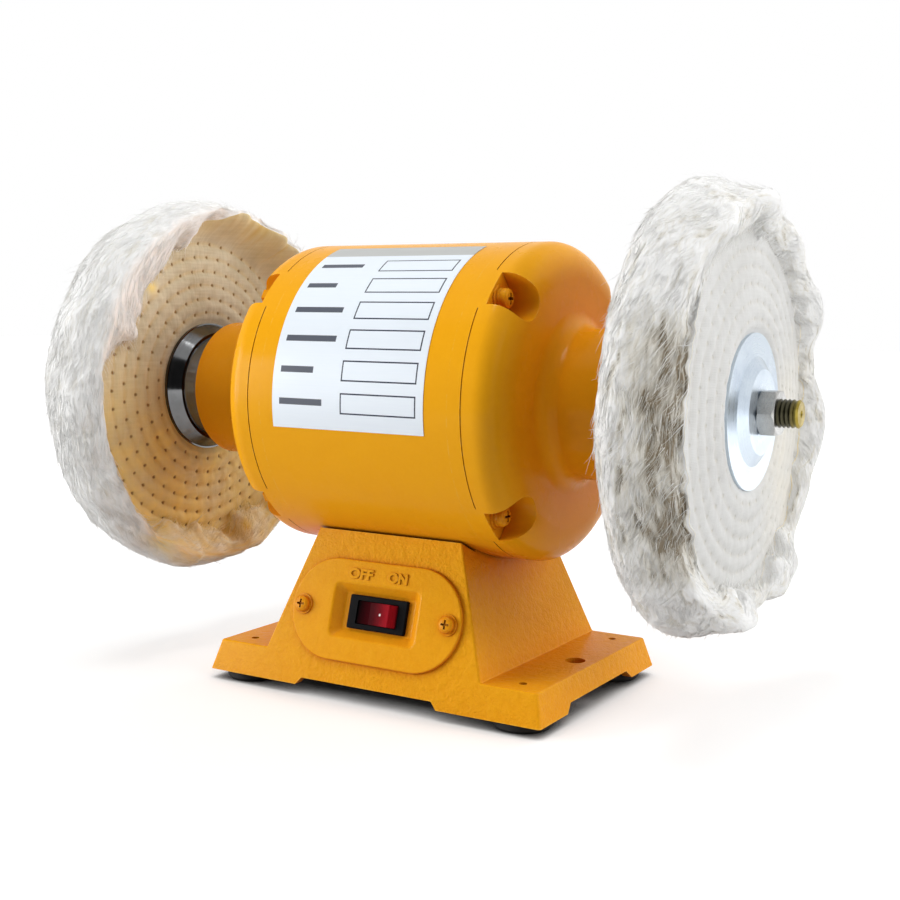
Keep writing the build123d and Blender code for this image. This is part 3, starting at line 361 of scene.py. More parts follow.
# Studio
studio = {
    "ambient": 0.15,  # what the room gives on all sides
    "floorSize": 12.0, "floorDrop": 0.0003,  # how far the floor lies under the feet
    "floorTone": 0.55, "floorMottle": 0.01,
    "close": (0.045, 0.75, 0.2),  # reach, start and full depth of the painted dark shadow right under the object
    "closeColour": colour(0.02, 0.016, 0.012),
    "floorNear": 0.2, "floorFar": 0.9,  # the floor fades to the white backdrop between these distances
    "floorGlow": 0.52,  # how much of that white there is near the object
    "lamps": {
        # place, width, watts
        "keyLamp": ((-1.68, -1.15, 0.32), 1.2, 44.0),
        "glareLamp": ((-0.15, -0.35, 1.75), 0.6, 11.0),
        "rightLamp": ((1.85, -0.2, 0.75), 1.2, 22.0),
        "backLamp": ((0.6, 1.3, 0.9), 1.2, 17.0),
    },
    "unmirrored": ("rightLamp", "backLamp"),  # lamps that leave no highlight
    "aim": (0.0, 0.0, 0.13),
    "cardPlace": (-0.2, -1.3, 0.2),  # dark card behind the camera, seen only in reflections
    "cardWidth": 4.6, "cardHeight": 3.4, "cardTones": (0.008, 0.016),
}


def addPlane(name, width, depth):
    mesh = bpy.data.meshes.new(name)
    x, y = width / 2, depth / 2
    mesh.from_pydata([(-x, -y, 0), (x, -y, 0), (x, y, 0), (-x, y, 0)], [], [(0, 1, 2, 3)])
    return linkObject(name, mesh)


def facing(place, target):
    return (Vector(place) - Vector(target)).to_track_quat("Z", "Y").to_matrix().to_4x4()


def seenRays(tree):
    rays = addNode(tree, "ShaderNodeLightPath").outputs
    shiny = calc(tree, "MAXIMUM", rays["Is Glossy Ray"], rays["Is Transmission Ray"])
    return calc(tree, "MAXIMUM", rays["Is Camera Ray"], shiny)


def addRoom(look):
    world = bpy.data.worlds.new("studioWorld")
    bpy.context.scene.world = world
    world.use_nodes = True
    tree = world.node_tree
    tree.nodes.clear()
    room = addNode(tree, "ShaderNodeBackground", {0: colour(1, 0.99, 0.97), 1: look["ambient"]})
    white = addNode(tree, "ShaderNodeBackground", {0: colour(1, 1, 1), 1: 1.0})
    both = addNode(tree, "ShaderNodeMixShader", {0: seenRays(tree), 1: room.outputs[0], 2: white.outputs[0]})
    addNode(tree, "ShaderNodeOutputWorld", {0: both.outputs[0]})


def addFloor(look):
    floor = addPlane("floor", look["floorSize"], look["floorSize"])
    floor.location.z = -look["floorDrop"]
    tree, sockets = startMaterial("floorWhite", Roughness=0.75, Emission_Color=colour(1, 1, 1))
    place = objectPlace(tree)
    low, high = look["floorTone"] - look["floorMottle"], look["floorTone"] + look["floorMottle"]
    shade = spread(tree, noiseAt(tree, place, 6.0), 0.3, 0.7, low, high)
    # painted shadow: dark floor, with no glow, where the object hems the floor in
    close = hemmedIn(tree, *look["close"])
    away = measure(tree, "LENGTH", place)
    glow = spread(tree, away, look["floorNear"], look["floorFar"], look["floorGlow"], 1.0)
    glow = times(tree, glow, minus(tree, 1.0, close))
    dress(
        tree, sockets,
        Base_Color=mixColour(tree, close, shade, look["closeColour"]),
        Emission_Strength=times(tree, seenRays(tree), glow),
    )
    floor.data.materials.append(materials["floorWhite"])
    return floor


def addCard(look):
    card = addPlane("darkCard", look["cardWidth"], look["cardHeight"])
    card.matrix_world = Matrix.Translation(look["cardPlace"]) @ facing(look["aim"], look["cardPlace"])
    tree, sockets = startMaterial("cardBlack", Roughness=0.9)
    cloud = noiseAt(tree, objectPlace(tree), 5.0)
    dress(tree, sockets, Base_Color=spread(tree, cloud, 0.0, 1.0, *look["cardTones"]))
    card.data.materials.append(materials["cardBlack"])
    card.visible_camera = False
    card.visible_diffuse = False
    card.visible_shadow = False
    return card


def addLamp(name, place, width, watts, look):
    light = bpy.data.lights.new(name, "AREA")
    light.shape = "SQUARE"
    light.size = width
    light.energy = watts
    lamp = linkObject(name, light)
    lamp.matrix_world = Matrix.Translation(place) @ facing(place, look["aim"])
    lamp.visible_glossy = name not in look["unmirrored"]


addRoom(studio)
floor = addFloor(studio)
card = addCard(studio)
for name, lampLook in studio["lamps"].items():
    addLamp(name, *lampLook, studio)
print("studio ready")


# Enamel on the castings, the shell and the painted screws
# crease is how far the shade painted into creases reaches
enamelLooks = {
    "castEnamel": {
        "bright": colour(0.9, 0.42, 0.012), "deep": colour(0.85, 0.37, 0.009), "grain": 800.0, "roll": 260.0,
        "pits": 0.35, "bump": 0.75, "low": 0.32, "high": 0.44, "crease": 0.004,
    },
    "plateEnamel": {
        "bright": colour(0.9, 0.41, 0.012), "deep": colour(0.86, 0.37, 0.009), "grain": 800.0, "roll": 200.0,
        "pits": 0.1, "bump": 0.3, "low": 0.3, "high": 0.4, "crease": 0.004,
    },
    "shellEnamel": {
        "bright": colour(0.92, 0.42, 0.01), "deep": colour(0.9, 0.4, 0.009), "grain": 600.0, "roll": 70.0,
        "pits": 0.0, "bump": 0.05, "low": 0.24, "high": 0.32, "crease": 0.002,
    },
    "screwEnamel": {
        "bright": colour(0.86, 0.37, 0.01), "deep": colour(0.76, 0.27, 0.006), "grain": 900.0, "roll": 300.0,
        "pits": 0.5, "bump": 0.5, "low": 0.28, "high": 0.4, "crease": 0.0025,
    },
}
enamelShared = {
    "coat": 0.12, "coatBlur": 0.16, "specular": 0.03, "specularTint": colour(1, 0.85, 0.5),
    # painted shade in creases: its colour, and the occlusion at which it starts and is full
    "paintedCreaseShade": colour(0.1, 0.022, 0.002), "creaseShadeFade": (0.62, 0.12),
    "shelterShadeColour": colour(0.62, 0.12, 0.003),  # painted shade: a deeper, redder paint colour in sheltered places
    "shelterShade": (0.08, 0.85, 0.25), "shade": 0.7,  # reach, start and full depth of that painted shade, and then its strength
    "chipAndHighlightColour": colour(0.95, 0.6, 0.12), "chipWidth": 0.0009, "chipAndHighlight": 0.5,
    "smudge": 30.0, "skinDepth": 0.0009,
}


def makeEnamel(name, look, shared):
    tree, sockets = startMaterial(
        name, Coat_Weight=shared["coat"], Coat_Roughness=shared["coatBlur"],
        Specular_IOR_Level=shared["specular"], Specular_Tint=shared["specularTint"],
    )
    skin = useGroup(tree, castSkin, Grain=look["grain"], Roll=look["roll"], Pits=look["pits"])
    paint = mixColour(tree, skin["Shade"], look["deep"], look["bright"])
    # painted shade: deeper, redder paint where little light gets in
    shelterShade = hemmedIn(tree, *shared["shelterShade"])
    paint = mixColour(tree, times(tree, shelterShade, shared["shade"]), paint, shared["shelterShadeColour"])
    # painted highlight and wear: lighter yellow paint in specks along the edges
    wearAndHighlight = useGroup(tree, edgeWearAndHighlight, Width=shared["chipWidth"])["Mask"]
    paint = mixColour(tree, times(tree, wearAndHighlight, shared["chipAndHighlight"]), paint, shared["chipAndHighlightColour"])
    # painted shade: near-black paint in creases and where parts meet
    corner = hemmedIn(tree, look["crease"], *shared["creaseShadeFade"])
    dress(
        tree, sockets,
        Base_Color=mixColour(tree, corner, paint, shared["paintedCreaseShade"]),
        Roughness=smudged(tree, shared["smudge"], look["low"], look["high"]),
    )
    bumpInto(tree, sockets, skin["Height"], look["bump"], shared["skinDepth"])


for name, look in enamelLooks.items():
    makeEnamel(name, look, enamelShared)


# Metals: clean and stained colour, roughness from and to, depth of the lathe's rings and how close they are
metalLooks = {
    "polishedSteel": (colour(0.17, 0.172, 0.175), colour(0.11, 0.11, 0.11), 0.08, 0.15, 0.15, 3000.0),
    "brightZinc": (colour(0.64, 0.72, 0.8), colour(0.52, 0.6, 0.7), 0.26, 0.36, 0.12, 3000.0),
    "nutSteel": (colour(0.5, 0.5, 0.49), colour(0.34, 0.33, 0.31), 0.2, 0.32, 0.3, 5000.0),
    "platedSteel": (colour(0.62, 0.56, 0.4), colour(0.42, 0.36, 0.24), 0.28, 0.42, 0.1, 3000.0),
    "sheetZinc": (colour(0.55, 0.56, 0.57), colour(0.38, 0.39, 0.4), 0.35, 0.5, 0.05, 3000.0),
    "stampedBrass": (colour(0.78, 0.58, 0.26), colour(0.5, 0.34, 0.14), 0.25, 0.4, 0.08, 3000.0),
    "drawnCan": (colour(0.72, 0.73, 0.74), colour(0.56, 0.57, 0.58), 0.25, 0.38, 0.05, 3000.0),
    "stackedSteel": (colour(0.3, 0.3, 0.31), colour(0.16, 0.13, 0.11), 0.4, 0.6, 0.5, 1500.0),
    "copperWire": (colour(0.55, 0.22, 0.08), colour(0.3, 0.1, 0.04), 0.3, 0.45, 0.8, 900.0),
    "castAluminium": (colour(0.7, 0.71, 0.72), colour(0.5, 0.5, 0.5), 0.35, 0.5, 0.2, 3000.0),
    "groundSteel": (colour(0.72, 0.72, 0.73), colour(0.55, 0.55, 0.55), 0.08, 0.18, 0.1, 3000.0),
}
metalShared = {"stains": 45.0, "smudge": 60.0, "ringBlur": (-0.05, 0.05), "ringDepth": 0.0002}


def makeMetal(name, clean, stain, low, high, ringBump, rings):
    tree, sockets = startMaterial(name, Metallic=1.0)
    turned = useGroup(tree, turning, Rings=rings)["Height"]
    cloud = blotchesAt(tree, objectPlace(tree), metalShared["stains"])
    blur = smudged(tree, metalShared["smudge"], low, high)
    grooves = spread(tree, turned, 0.4, 0.6, *metalShared["ringBlur"])
    dress(
        tree, sockets,
        Base_Color=mixColour(tree, spread(tree, cloud, 0.5, 0.75), clean, stain),
        Roughness=plus(tree, blur, grooves),
    )
    bumpInto(tree, sockets, turned, ringBump, metalShared["ringDepth"])


for name, look in metalLooks.items():
    makeMetal(name, *look)


# Shaft: plain ground steel, with oiled threads, a yellow zinc tip at each end, and painted shade in its
# hollows
shaftLook = {
    "plain": colour(0.5, 0.5, 0.5), "oiled": colour(0.07, 0.065, 0.04), "rootShade": colour(0.02, 0.015, 0.005),
    "zinc": (colour(0.3, 0.22, 0.035), colour(0.44, 0.34, 0.07)),
    "tip": (-0.003, 0.0004),  # where the zinc begins and is full, from the shaft's end
    "cloud": 220.0, "wander": 0.0016,
    "rootShadeDepth": (0.002, 0.75, 0.25),  # reach, start and full depth of the painted shade
    "blur": (200.0, 0.25, 0.42),  # scale of the smudges, and roughness from and to
    "rings": 2500.0, "ringBump": 0.2,
}


def makeShaftSteel(look):
    tree, sockets = startMaterial("shaftSteel", Metallic=1.0)
    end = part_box("rotor_shaft")[1].x
    nutLow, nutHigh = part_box("right_arbor_nut")
    place = objectPlace(tree)
    turned = useGroup(tree, turning, Rings=look["rings"])["Height"]
    cloud = noiseAt(tree, place, look["cloud"])
    along = calc(tree, "ABSOLUTE", partsOf(tree, place)[0])
    wavy = plus(tree, along, times(tree, cloud, look["wander"]))
    steel = mixColour(tree, spread(tree, wavy, nutLow.x, nutHigh.x), look["plain"], look["oiled"])
    zinc = mixColour(tree, spread(tree, cloud, 0.35, 0.65), *look["zinc"])
    yellow = spread(tree, wavy, *(end + step for step in look["tip"]))
    metal = mixColour(tree, yellow, steel, zinc)
    # painted shade: near black where the shaft is hemmed in
    rootShade = hemmedIn(tree, *look["rootShadeDepth"])
    dress(
        tree, sockets,
        Base_Color=mixColour(tree, rootShade, metal, look["rootShade"]),
        Roughness=smudged(tree, *look["blur"]),
    )
    bumpInto(tree, sockets, turned, look["ringBump"], metalShared["ringDepth"])


makeShaftSteel(shaftLook)


# Rubber and plastics: colour, its bloom, roughness from and to, specular level
mouldedLooks = {
    "blackRubber": (colour(0.009, 0.009, 0.009), colour(0.016, 0.015, 0.014), 0.6, 0.8, 0.25),
    "switchBlack": (colour(0.003, 0.003, 0.004), colour(0.005, 0.005, 0.006), 0.4, 0.55, 0.05),
    "naturalNylon": (colour(0.6, 0.56, 0.46), colour(0.7, 0.66, 0.56), 0.35, 0.5, 0.5),
    "leadPlastic": (colour(0.4, 0.02, 0.015), colour(0.5, 0.04, 0.03), 0.3, 0.4, 0.5),
}
mouldedShared = {"grain": 900.0, "roll": 180.0, "bloom": 70.0, "smudge": 120.0, "bump": 0.15, "depth": 0.0004}


def makeMoulded(name, base, bloom, low, high, specular):
    tree, sockets = startMaterial(name, Specular_IOR_Level=specular)
    shared = mouldedShared
    skin = useGroup(tree, castSkin, Grain=shared["grain"], Roll=shared["roll"], Pits=0.0)
    dress(
        tree, sockets,
        Base_Color=mixColour(tree, smudged(tree, shared["bloom"], 0.0, 1.0), base, bloom),
        Roughness=smudged(tree, shared["smudge"], low, high),
    )
    bumpInto(tree, sockets, skin["Height"], shared["bump"], shared["depth"])


for name, look in mouldedLooks.items():
    makeMoulded(name, *look)


slope = Vector(joints["rocker_tilt"]["axis"])  # up along the pedestal's front
slopeFace = Vector((0, -slope.z, slope.y))  # the way that front faces
probeReach = 0.1


def touch(name, across, up):
    # the point of a node's front, across and up the pedestal's slope from the middle of its box
    low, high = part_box(name)
    mesh = nodes[name].data
    corners = [corner.co for corner in mesh.vertices]
    skin = BVHTree.FromPolygons(corners, [face.vertices for face in mesh.polygons])
    start = (low + high) / 2 + Vector((across, 0, 0)) + slope * up + slopeFace * probeReach
    return skin.ray_cast(start, -slopeFace)[0]


# Rocker: clear red plastic, painted dark toward the left and bright toward the right as its shaded and lit
# halves, with a painted glint
rockerLook = {
    # share of the rocker's length from its left end, and the painted shade of red there
    "shades": (
        (0.1, colour(0.004, 0.0006, 0.001)),
        (0.5, colour(0.07, 0.003, 0.006)),
        (0.9, colour(0.3, 0.008, 0.016)),
    ),
    "cloud": 180.0, "wander": 0.003,
    "blur": (200.0, 0.35, 0.5),
    "glintPlace": 0.11,  # a painted glint, this share of the length right of the middle
    "glintRadius": (0.0008, 0.0004), "glintColour": colour(0.9, 0.85, 0.85),
}


def makeRockerRed(look):
    tree, sockets = startMaterial("rockerRed", Specular_IOR_Level=0.01)
    low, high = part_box("switch_rocker")
    place = objectPlace(tree)
    cloud = noiseAt(tree, place, look["cloud"])
    wavy = plus(tree, partsOf(tree, place)[0], times(tree, cloud, look["wander"]))
    # painted shade: dark red on the left half, lit red on the right
    red = shadesOf(tree, spread(tree, wavy, low.x, high.x), look["shades"])
    glintPlace = touch("switch_rocker", look["glintPlace"] * (high.x - low.x), 0.0)
    # painted highlight: a small pale dot on the red
    glint = spread(tree, measure(tree, "DISTANCE", place, glintPlace), *look["glintRadius"])
    dress(
        tree, sockets,
        Base_Color=mixColour(tree, glint, red, look["glintColour"]),
        Roughness=smudged(tree, *look["blur"]),
    )


makeRockerRed(rockerLook)


# Rating plate: satin foil with a blank form printed on it
formLook = {
    "title": 0.011,  # height of the plain band along the top
    "margin": 0.005,
    "rows": 6,
    "boxFrom": 0.47, "boxTo": 0.95,  # share of the plate's width
    "barFrom": 0.05, "barHalf": (0.1, 0.18),
    "boxHeight": 0.6, "barHeight": 0.2,  # share of a row
    "line": 0.0007,
    "foil": (colour(0.8, 0.87, 0.95), colour(0.85, 0.91, 0.97)), "band": colour(0.5, 0.51, 0.5),
    "ink": colour(0.03, 0.035, 0.06), "barInk": 0.92,
    "satin": (1.0, 60.0, 60.0), "streaks": 40.0,  # brushed along the shaft
    "blur": (40.0, 0.4, 0.52), "bump": 0.03, "depth": 0.0002,
}


def makeLabelFoil(look):
    tree, sockets = startMaterial("labelFoil", Metallic=0.05, Specular_IOR_Level=0.25)
    low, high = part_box("rating_plate")
    bottom, top = (math.asin((corner.z - axisHeight) / motorRadius) for corner in (low, high))
    width, height = high.x - low.x, (top - bottom) * motorRadius
    rowHeight = (height - look["title"] - 2 * look["margin"]) / look["rows"]

    def past(value, middle, half):
        # how far a value lies past either end of a span, below 0 inside it
        return minus(tree, calc(tree, "ABSOLUTE", minus(tree, value, middle)), half)

    def within(value):
        return calc(tree, "LESS_THAN", value, 0.0)

    place = objectPlace(tree)
    along, back, rise, _ = roundShaft(tree, place)
    across = over(tree, minus(tree, along, low.x), width)
    up = times(tree, minus(tree, turnAt(tree, back, rise), bottom), motorRadius)
    rowPlace = over(tree, minus(tree, up, look["margin"]), rowHeight)
    inRow = calc(tree, "FRACT", rowPlace)
    inForm = within(past(rowPlace, look["rows"] / 2, look["rows"] / 2))
    boxMiddle, boxHalf = (look["boxFrom"] + look["boxTo"]) / 2, (look["boxTo"] - look["boxFrom"]) / 2
    boxAcross = times(tree, past(across, boxMiddle, boxHalf), width)
    boxUp = times(tree, past(inRow, 0.5, look["boxHeight"] / 2), rowHeight)
    boxEdge = calc(tree, "ABSOLUTE", calc(tree, "MAXIMUM", boxAcross, boxUp))
    outline = calc(tree, "LESS_THAN", boxEdge, look["line"] / 2)
    rowNumber = calc(tree, "FLOOR", rowPlace)
    luck = addNode(tree, "ShaderNodeTexWhiteNoise", {"W": rowNumber}, noise_dimensions="1D").outputs["Value"]
    barHalf = spread(tree, luck, 0.0, 1.0, *look["barHalf"])
    barAcross = past(across, plus(tree, barHalf, look["barFrom"]), barHalf)
    bar = times(tree, within(barAcross), within(past(inRow, 0.5, look["barHeight"] / 2)))
    inked = times(tree, calc(tree, "MAXIMUM", outline, times(tree, bar, look["barInk"])), inForm)
    inBand = calc(tree, "GREATER_THAN", up, height - look["title"] - look["margin"] / 2)
    satin = addNode(tree, "ShaderNodeMapping", {"Vector": place, "Scale": look["satin"]}).outputs[0]
    streak = noiseAt(tree, satin, look["streaks"])
    foil = mixColour(tree, inBand, mixColour(tree, streak, *look["foil"]), look["band"])
    dress(
        tree, sockets,
        Base_Color=mixColour(tree, inked, foil, look["ink"]),
        Roughness=smudged(tree, *look["blur"]),
    )
    bumpInto(tree, sockets, streak, look["bump"], look["depth"])


makeLabelFoil(formLook)
print("hard materials ready")


# What each machined or moulded node is finished in
finishes = {
    "castEnamel": ["base_casting"],
    "plateEnamel": ["switch_plate"],
    "shellEnamel": ["motor_shell", "left_end_bell", "right_end_bell"],
    "screwEnamel": [
        "switch_plate_screws", "switch_plate_washers", "tie_bolts", "tie_bolt_washers",
        "tie_bolt_lock_washers", "tie_bolt_nuts",
    ],
    "polishedSteel": ["left_inner_flange", "right_inner_flange"],
    "brightZinc": ["left_outer_flange", "right_outer_flange"],
    "nutSteel": ["left_arbor_nut", "right_arbor_nut"],
    "platedSteel": [
        "base_cover_screws", "capacitor_clamp_screws", "mount_bolts", "mount_washers", "mount_weld_nuts",
    ],
    "sheetZinc": ["base_cover", "capacitor_clamp"],
    "stampedBrass": ["switch_terminals", "capacitor_terminals", "left_bearing_cage", "right_bearing_cage"],
    "drawnCan": ["capacitor"],
    "stackedSteel": ["stator_core", "rotor_core"],
    "copperWire": ["stator_windings"],
    "castAluminium": ["rotor_end_rings"],
    "groundSteel": ["bearing_preload_spring"],
    "shaftSteel": ["rotor_shaft"],
    "blackRubber": [
        "front_left_foot", "front_right_foot", "rear_left_foot", "rear_right_foot", "cord_inlet_grommet",
        "left_dust_seal", "right_dust_seal",
    ],
    "switchBlack": ["switch_housing"],
    "naturalNylon": ["lead_sleeve"],
    "leadPlastic": ["motor_leads"],
    "rockerRed": ["switch_rocker"],
    "labelFoil": ["rating_plate"],
}
for hand in sides:
    finishes["groundSteel"] += [f"{hand}_bearing_{piece}" for piece in ("outer_ring", "inner_ring", "balls")]
for finish, names in finishes.items():
    for name in names:
        skins = nodes[name].data.materials
        skins.clear()
        skins.append(materials[finish])
print("finishes assigned to", sum(len(names) for names in finishes.values()), "nodes")


# Raised words over the switch
wordLook = {
    "places": {"OFF": (-0.0106, 0.0142), "ON": (0.0105, 0.0112)},  # middle across the plate, and width
    "up": 0.01815, "height": 0.0053, "fontSize": 0.00742,
    "rise": 0.0006, "round": 0.0002, "bold": 0.0002,
}


def makeWord(text, across, width, look):
    curve = bpy.data.curves.new(text, "FONT")
    curve.body = text
    curve.align_x, curve.align_y = "CENTER", "CENTER"
    curve.size = look["fontSize"]
    curve.extrude = look["rise"] - look["round"]
    curve.bevel_depth, curve.bevel_resolution, curve.offset = look["round"], 2, look["bold"]
    flat = linkObject(text, curve)
    mesh = bpy.data.meshes.new_from_object(flat.evaluated_get(bpy.context.evaluated_depsgraph_get()))
    bpy.data.objects.remove(flat)
    corners = np.array([corner.co for corner in mesh.vertices])
    low, high = corners.min(0), corners.max(0)
    stretch = Matrix.Diagonal((width / (high[0] - low[0]), look["height"] / (high[1] - low[1]), 1, 1))
    middle = Matrix.Translation(-Vector((low + high) / 2))
    turned = Matrix((Vector((1, 0, 0)), slope, slopeFace)).transposed().to_4x4()
    place = Matrix.Translation(touch("switch_plate", across, look["up"]))
    mesh.transform(place @ turned @ stretch @ middle)
    shell = bmesh.new()
    shell.from_mesh(mesh)
    bmesh.ops.remove_doubles(shell, verts=shell.verts, dist=1e-6)
    bmesh.ops.recalc_face_normals(shell, faces=shell.faces)
    shell.to_mesh(mesh)
    shell.free()
    mesh.materials.clear()
    mesh.materials.append(materials["plateEnamel"])
    finishPiece(linkObject("switchWord" + text.title(), mesh), "frame", "yellow_paint")


for text, (across, width) in wordLook["places"].items():
    makeWord(text, across, width, wordLook)
print("switch words ready")


# Cotton: the woven faces of the wheels, their matted rims and the sewing thread
clothLooks = {
    # fold is the colour of shade painted into folds and along the sewing
    "muslinPale": {
        "bright": colour(0.73, 0.73, 0.72), "deep": colour(0.65, 0.645, 0.625),
        "fold": colour(0.6, 0.56, 0.48), "stain": colour(0.78, 0.75, 0.68),
        "hole": colour(0.68, 0.66, 0.61), "groove": 0.16,
    },
    # a warmer, darker copy of the pale muslin for the faces toward the motor: painted warm shade
    "muslinTan": {
        "bright": colour(0.74, 0.67, 0.5), "deep": colour(0.54, 0.46, 0.3),
        "fold": colour(0.66, 0.46, 0.16), "stain": colour(0.95, 0.74, 0.26),
        "hole": colour(0.3, 0.19, 0.08), "groove": 0.3,
    },
}
muslinShared = {
    "threads": 1500.0, "slub": 0.6,
    "mottle": 32.0, "patches": 55.0, "patchStain": (0.45, 1.25),
    "holeSink": 1.5, "bump": 0.4, "depth": 0.0006,
}
fleeceShared = {
    # how much shade is painted on the fibre, and the colour there
    "shades": (
        (0.0, colour(0.93, 0.93, 0.92)),
        (0.45, colour(0.78, 0.75, 0.67)),
        (1.0, colour(0.25, 0.195, 0.12)),
    ),
    # polish is the brown of polish stains, which also stand for ochre shade in folds
    "polish": colour(0.95, 0.7, 0.16),
    "mottle": 60.0, "mottleGrey": (-0.08, 0.08),
    "depth": 0.0015,
}
# the attribute that holds the shade painted on the fibre, strength of its streaks and of its bump
fleeceFinishes = {"rimWool": ("fold", 0.5, 0.4), "fleece": ("tint", 0.25, 0.2)}
threadColours = {
    "threadPale": (colour(0.68, 0.65, 0.59), colour(0.8, 0.78, 0.73)),
    "threadBrown": (colour(0.3, 0.17, 0.07), colour(0.42, 0.27, 0.12)),
}
sewing = {
    "first": 0.041, "pitch": 0.0076, "rings": 6,  # rings of sewing
    "gap": 0.0096, "hole": 0.0008, "holeFade": (1.5, 0.6),  # needle holes along a ring
    "stagger": 0.37,  # share of a gap that the holes move on from ring to ring
    "groove": 0.0018,
    "clear": 0.002,  # least distance of a stitch from the face's edge
}
sewnRadius = sewing["first"] + (sewing["rings"] - 1) * sewing["pitch"]


def needleHoles(tree, place):
    # how far a place is from its ring of sewing, and a mask of the row of holes on that ring
    _, back, rise, radius = roundShaft(tree, place)
    ring = calc(tree, "ROUND", over(tree, minus(tree, radius, sewing["first"]), sewing["pitch"]))
    ring = calc(tree, "MAXIMUM", calc(tree, "MINIMUM", ring, sewing["rings"] - 1.0), 0.0)
    ringRadius = plus(tree, times(tree, ring, sewing["pitch"]), sewing["first"])
    count = calc(tree, "ROUND", times(tree, ringRadius, math.tau / sewing["gap"]))
    turn = times(tree, over(tree, turnAt(tree, back, rise), math.tau), count)
    turn = plus(tree, turn, times(tree, ring, sewing["stagger"]))
    cell = minus(tree, calc(tree, "FRACT", turn), 0.5)
    along = over(tree, times(tree, times(tree, cell, ringRadius), math.tau), count)
    across = minus(tree, radius, ringRadius)
    faint, full = (sewing["hole"] * share for share in sewing["holeFade"])
    return across, spread(tree, hypotenuse(tree, along, across), faint, full)


def makeMuslin(name, look):
    tree, sockets = startMaterial(name, Roughness=0.9, Sheen_Weight=0.15, Specular_IOR_Level=0.1)
    place = objectPlace(tree)
    shared = muslinShared
    cloth = useGroup(tree, weave, Threads=shared["threads"], Slub=shared["slub"])
    mottle = spread(tree, blotchesAt(tree, place, shared["mottle"]), 0.35, 0.65)
    tone = times(tree, plus(tree, cloth["Tone"], mottle), 0.5)
    fabric = mixColour(tree, tone, look["deep"], look["bright"])
    patchy = spread(tree, blotchesAt(tree, place, shared["patches"]), 0.3, 0.7, *shared["patchStain"])
    # stain: polish browning, partly painted ochre shade
    stained = calc(tree, "MINIMUM", times(tree, attributeAt(tree, "stain"), patchy), 1.0)
    fabric = mixColour(tree, stained, fabric, look["stain"])
    across, hole = needleHoles(tree, place)
    # painted shade along each ring of sewing, in the fold colour
    groove = spread(tree, calc(tree, "ABSOLUTE", across), sewing["groove"], 0.0)
    fabric = mixColour(tree, times(tree, groove, look["groove"]), fabric, look["fold"])
    # painted shade in the folds, from the fold attribute
    fabric = mixColour(tree, attributeAt(tree, "fold"), fabric, look["fold"])
    dress(tree, sockets, Base_Color=mixColour(tree, hole, fabric, look["hole"]))
    height = minus(tree, cloth["Height"], times(tree, hole, shared["holeSink"]))
    bumpInto(tree, sockets, height, shared["bump"], shared["depth"])


def makeFleece(name, shadeOf, streaks, bump):
    tree, sockets = startMaterial(
        name, Roughness=0.95, Sheen_Weight=0.8, Sheen_Roughness=0.6, Specular_IOR_Level=0.05
    )
    shared = fleeceShared
    comb = useGroup(tree, combed)
    cloud = blotchesAt(tree, objectPlace(tree), shared["mottle"])
    cloud = spread(tree, cloud, 0.35, 0.65, *shared["mottleGrey"])
    streak = times(tree, minus(tree, 0.5, comb["Tone"]), streaks)
    shade = plus(tree, plus(tree, attributeAt(tree, shadeOf), cloud), streak)
    fibre = shadesOf(tree, shade, shared["shades"])
    dress(tree, sockets, Base_Color=mixColour(tree, attributeAt(tree, "stain"), fibre, shared["polish"]))
    bumpInto(tree, sockets, comb["Height"], bump, shared["depth"])


def makeThread(name, deep, bright):
    tree, sockets = startMaterial(name, Roughness=0.85, Sheen_Weight=0.2, Specular_IOR_Level=0.1)
    place = objectPlace(tree)
    dress(tree, sockets, Base_Color=mixColour(tree, noiseAt(tree, place, 300.0, 3.0), deep, bright))
    bumpInto(tree, sockets, noiseAt(tree, place, 2500.0, 2.0), 0.4, 0.0003)


for name, look in clothLooks.items():
    makeMuslin(name, look)
for name, look in fleeceFinishes.items():
    makeFleece(name, *look)
for name, shades in threadColours.items():
    makeThread(name, *shades)
print("cotton materials ready")


# Geometry trees
def startTree(name, **sockets):
    # sockets names the tree's inputs by their kind
    tree = bpy.data.node_groups.new(name, "GeometryNodeTree")
    tree.interface.new_socket("Geometry", in_out="INPUT", socket_type="NodeSocketGeometry")
    for kind, labels in sockets.items():
        for label in labels:
            tree.interface.new_socket(label, in_out="INPUT", socket_type="NodeSocket" + kind)
    tree.interface.new_socket("Geometry", in_out="OUTPUT", socket_type="NodeSocketGeometry")
    return tree, tree.nodes.new("NodeGroupInput").outputs, tree.nodes.new("NodeGroupOutput").inputs


def endTree(tree, geometry, material, leave):
    real = addNode(tree, "GeometryNodeRealizeInstances", {0: geometry})
    soft = addNode(tree, "GeometryNodeSetShadeSmooth", {0: real.outputs[0]})
    painted = addNode(tree, "GeometryNodeSetMaterial", {"Geometry": soft.outputs[0], "Material": material})
    setSocket(tree, leave[0], painted.outputs[0])


def readAttribute(tree, name, kind="FLOAT"):
    return addNode(tree, "GeometryNodeInputNamedAttribute", {"Name": name}, data_type=kind).outputs[0]


def keepAttribute(tree, geometry, name, value, kind="FLOAT"):
    inputs = {"Geometry": geometry, "Name": name, "Value": value}
    return addNode(tree, "GeometryNodeStoreNamedAttribute", inputs, data_type=kind, domain="POINT").outputs[0]


def scaled(tree, vector, factor):
    inputs = {0: vector, "Scale": factor}
    return addNode(tree, "ShaderNodeVectorMath", inputs, operation="SCALE").outputs[0]


def driftField(tree, place, size, strength):
    # a soft random push that changes over the given size
    inputs = {"Vector": place, "Scale": over(tree, 1.0, size), "Detail": 1.0}
    cloud = addNode(tree, "ShaderNodeTexNoise", inputs).outputs["Color"]
    return scaled(tree, vectorCalc(tree, "SUBTRACT", cloud, (0.5, 0.5, 0.5)), strength)


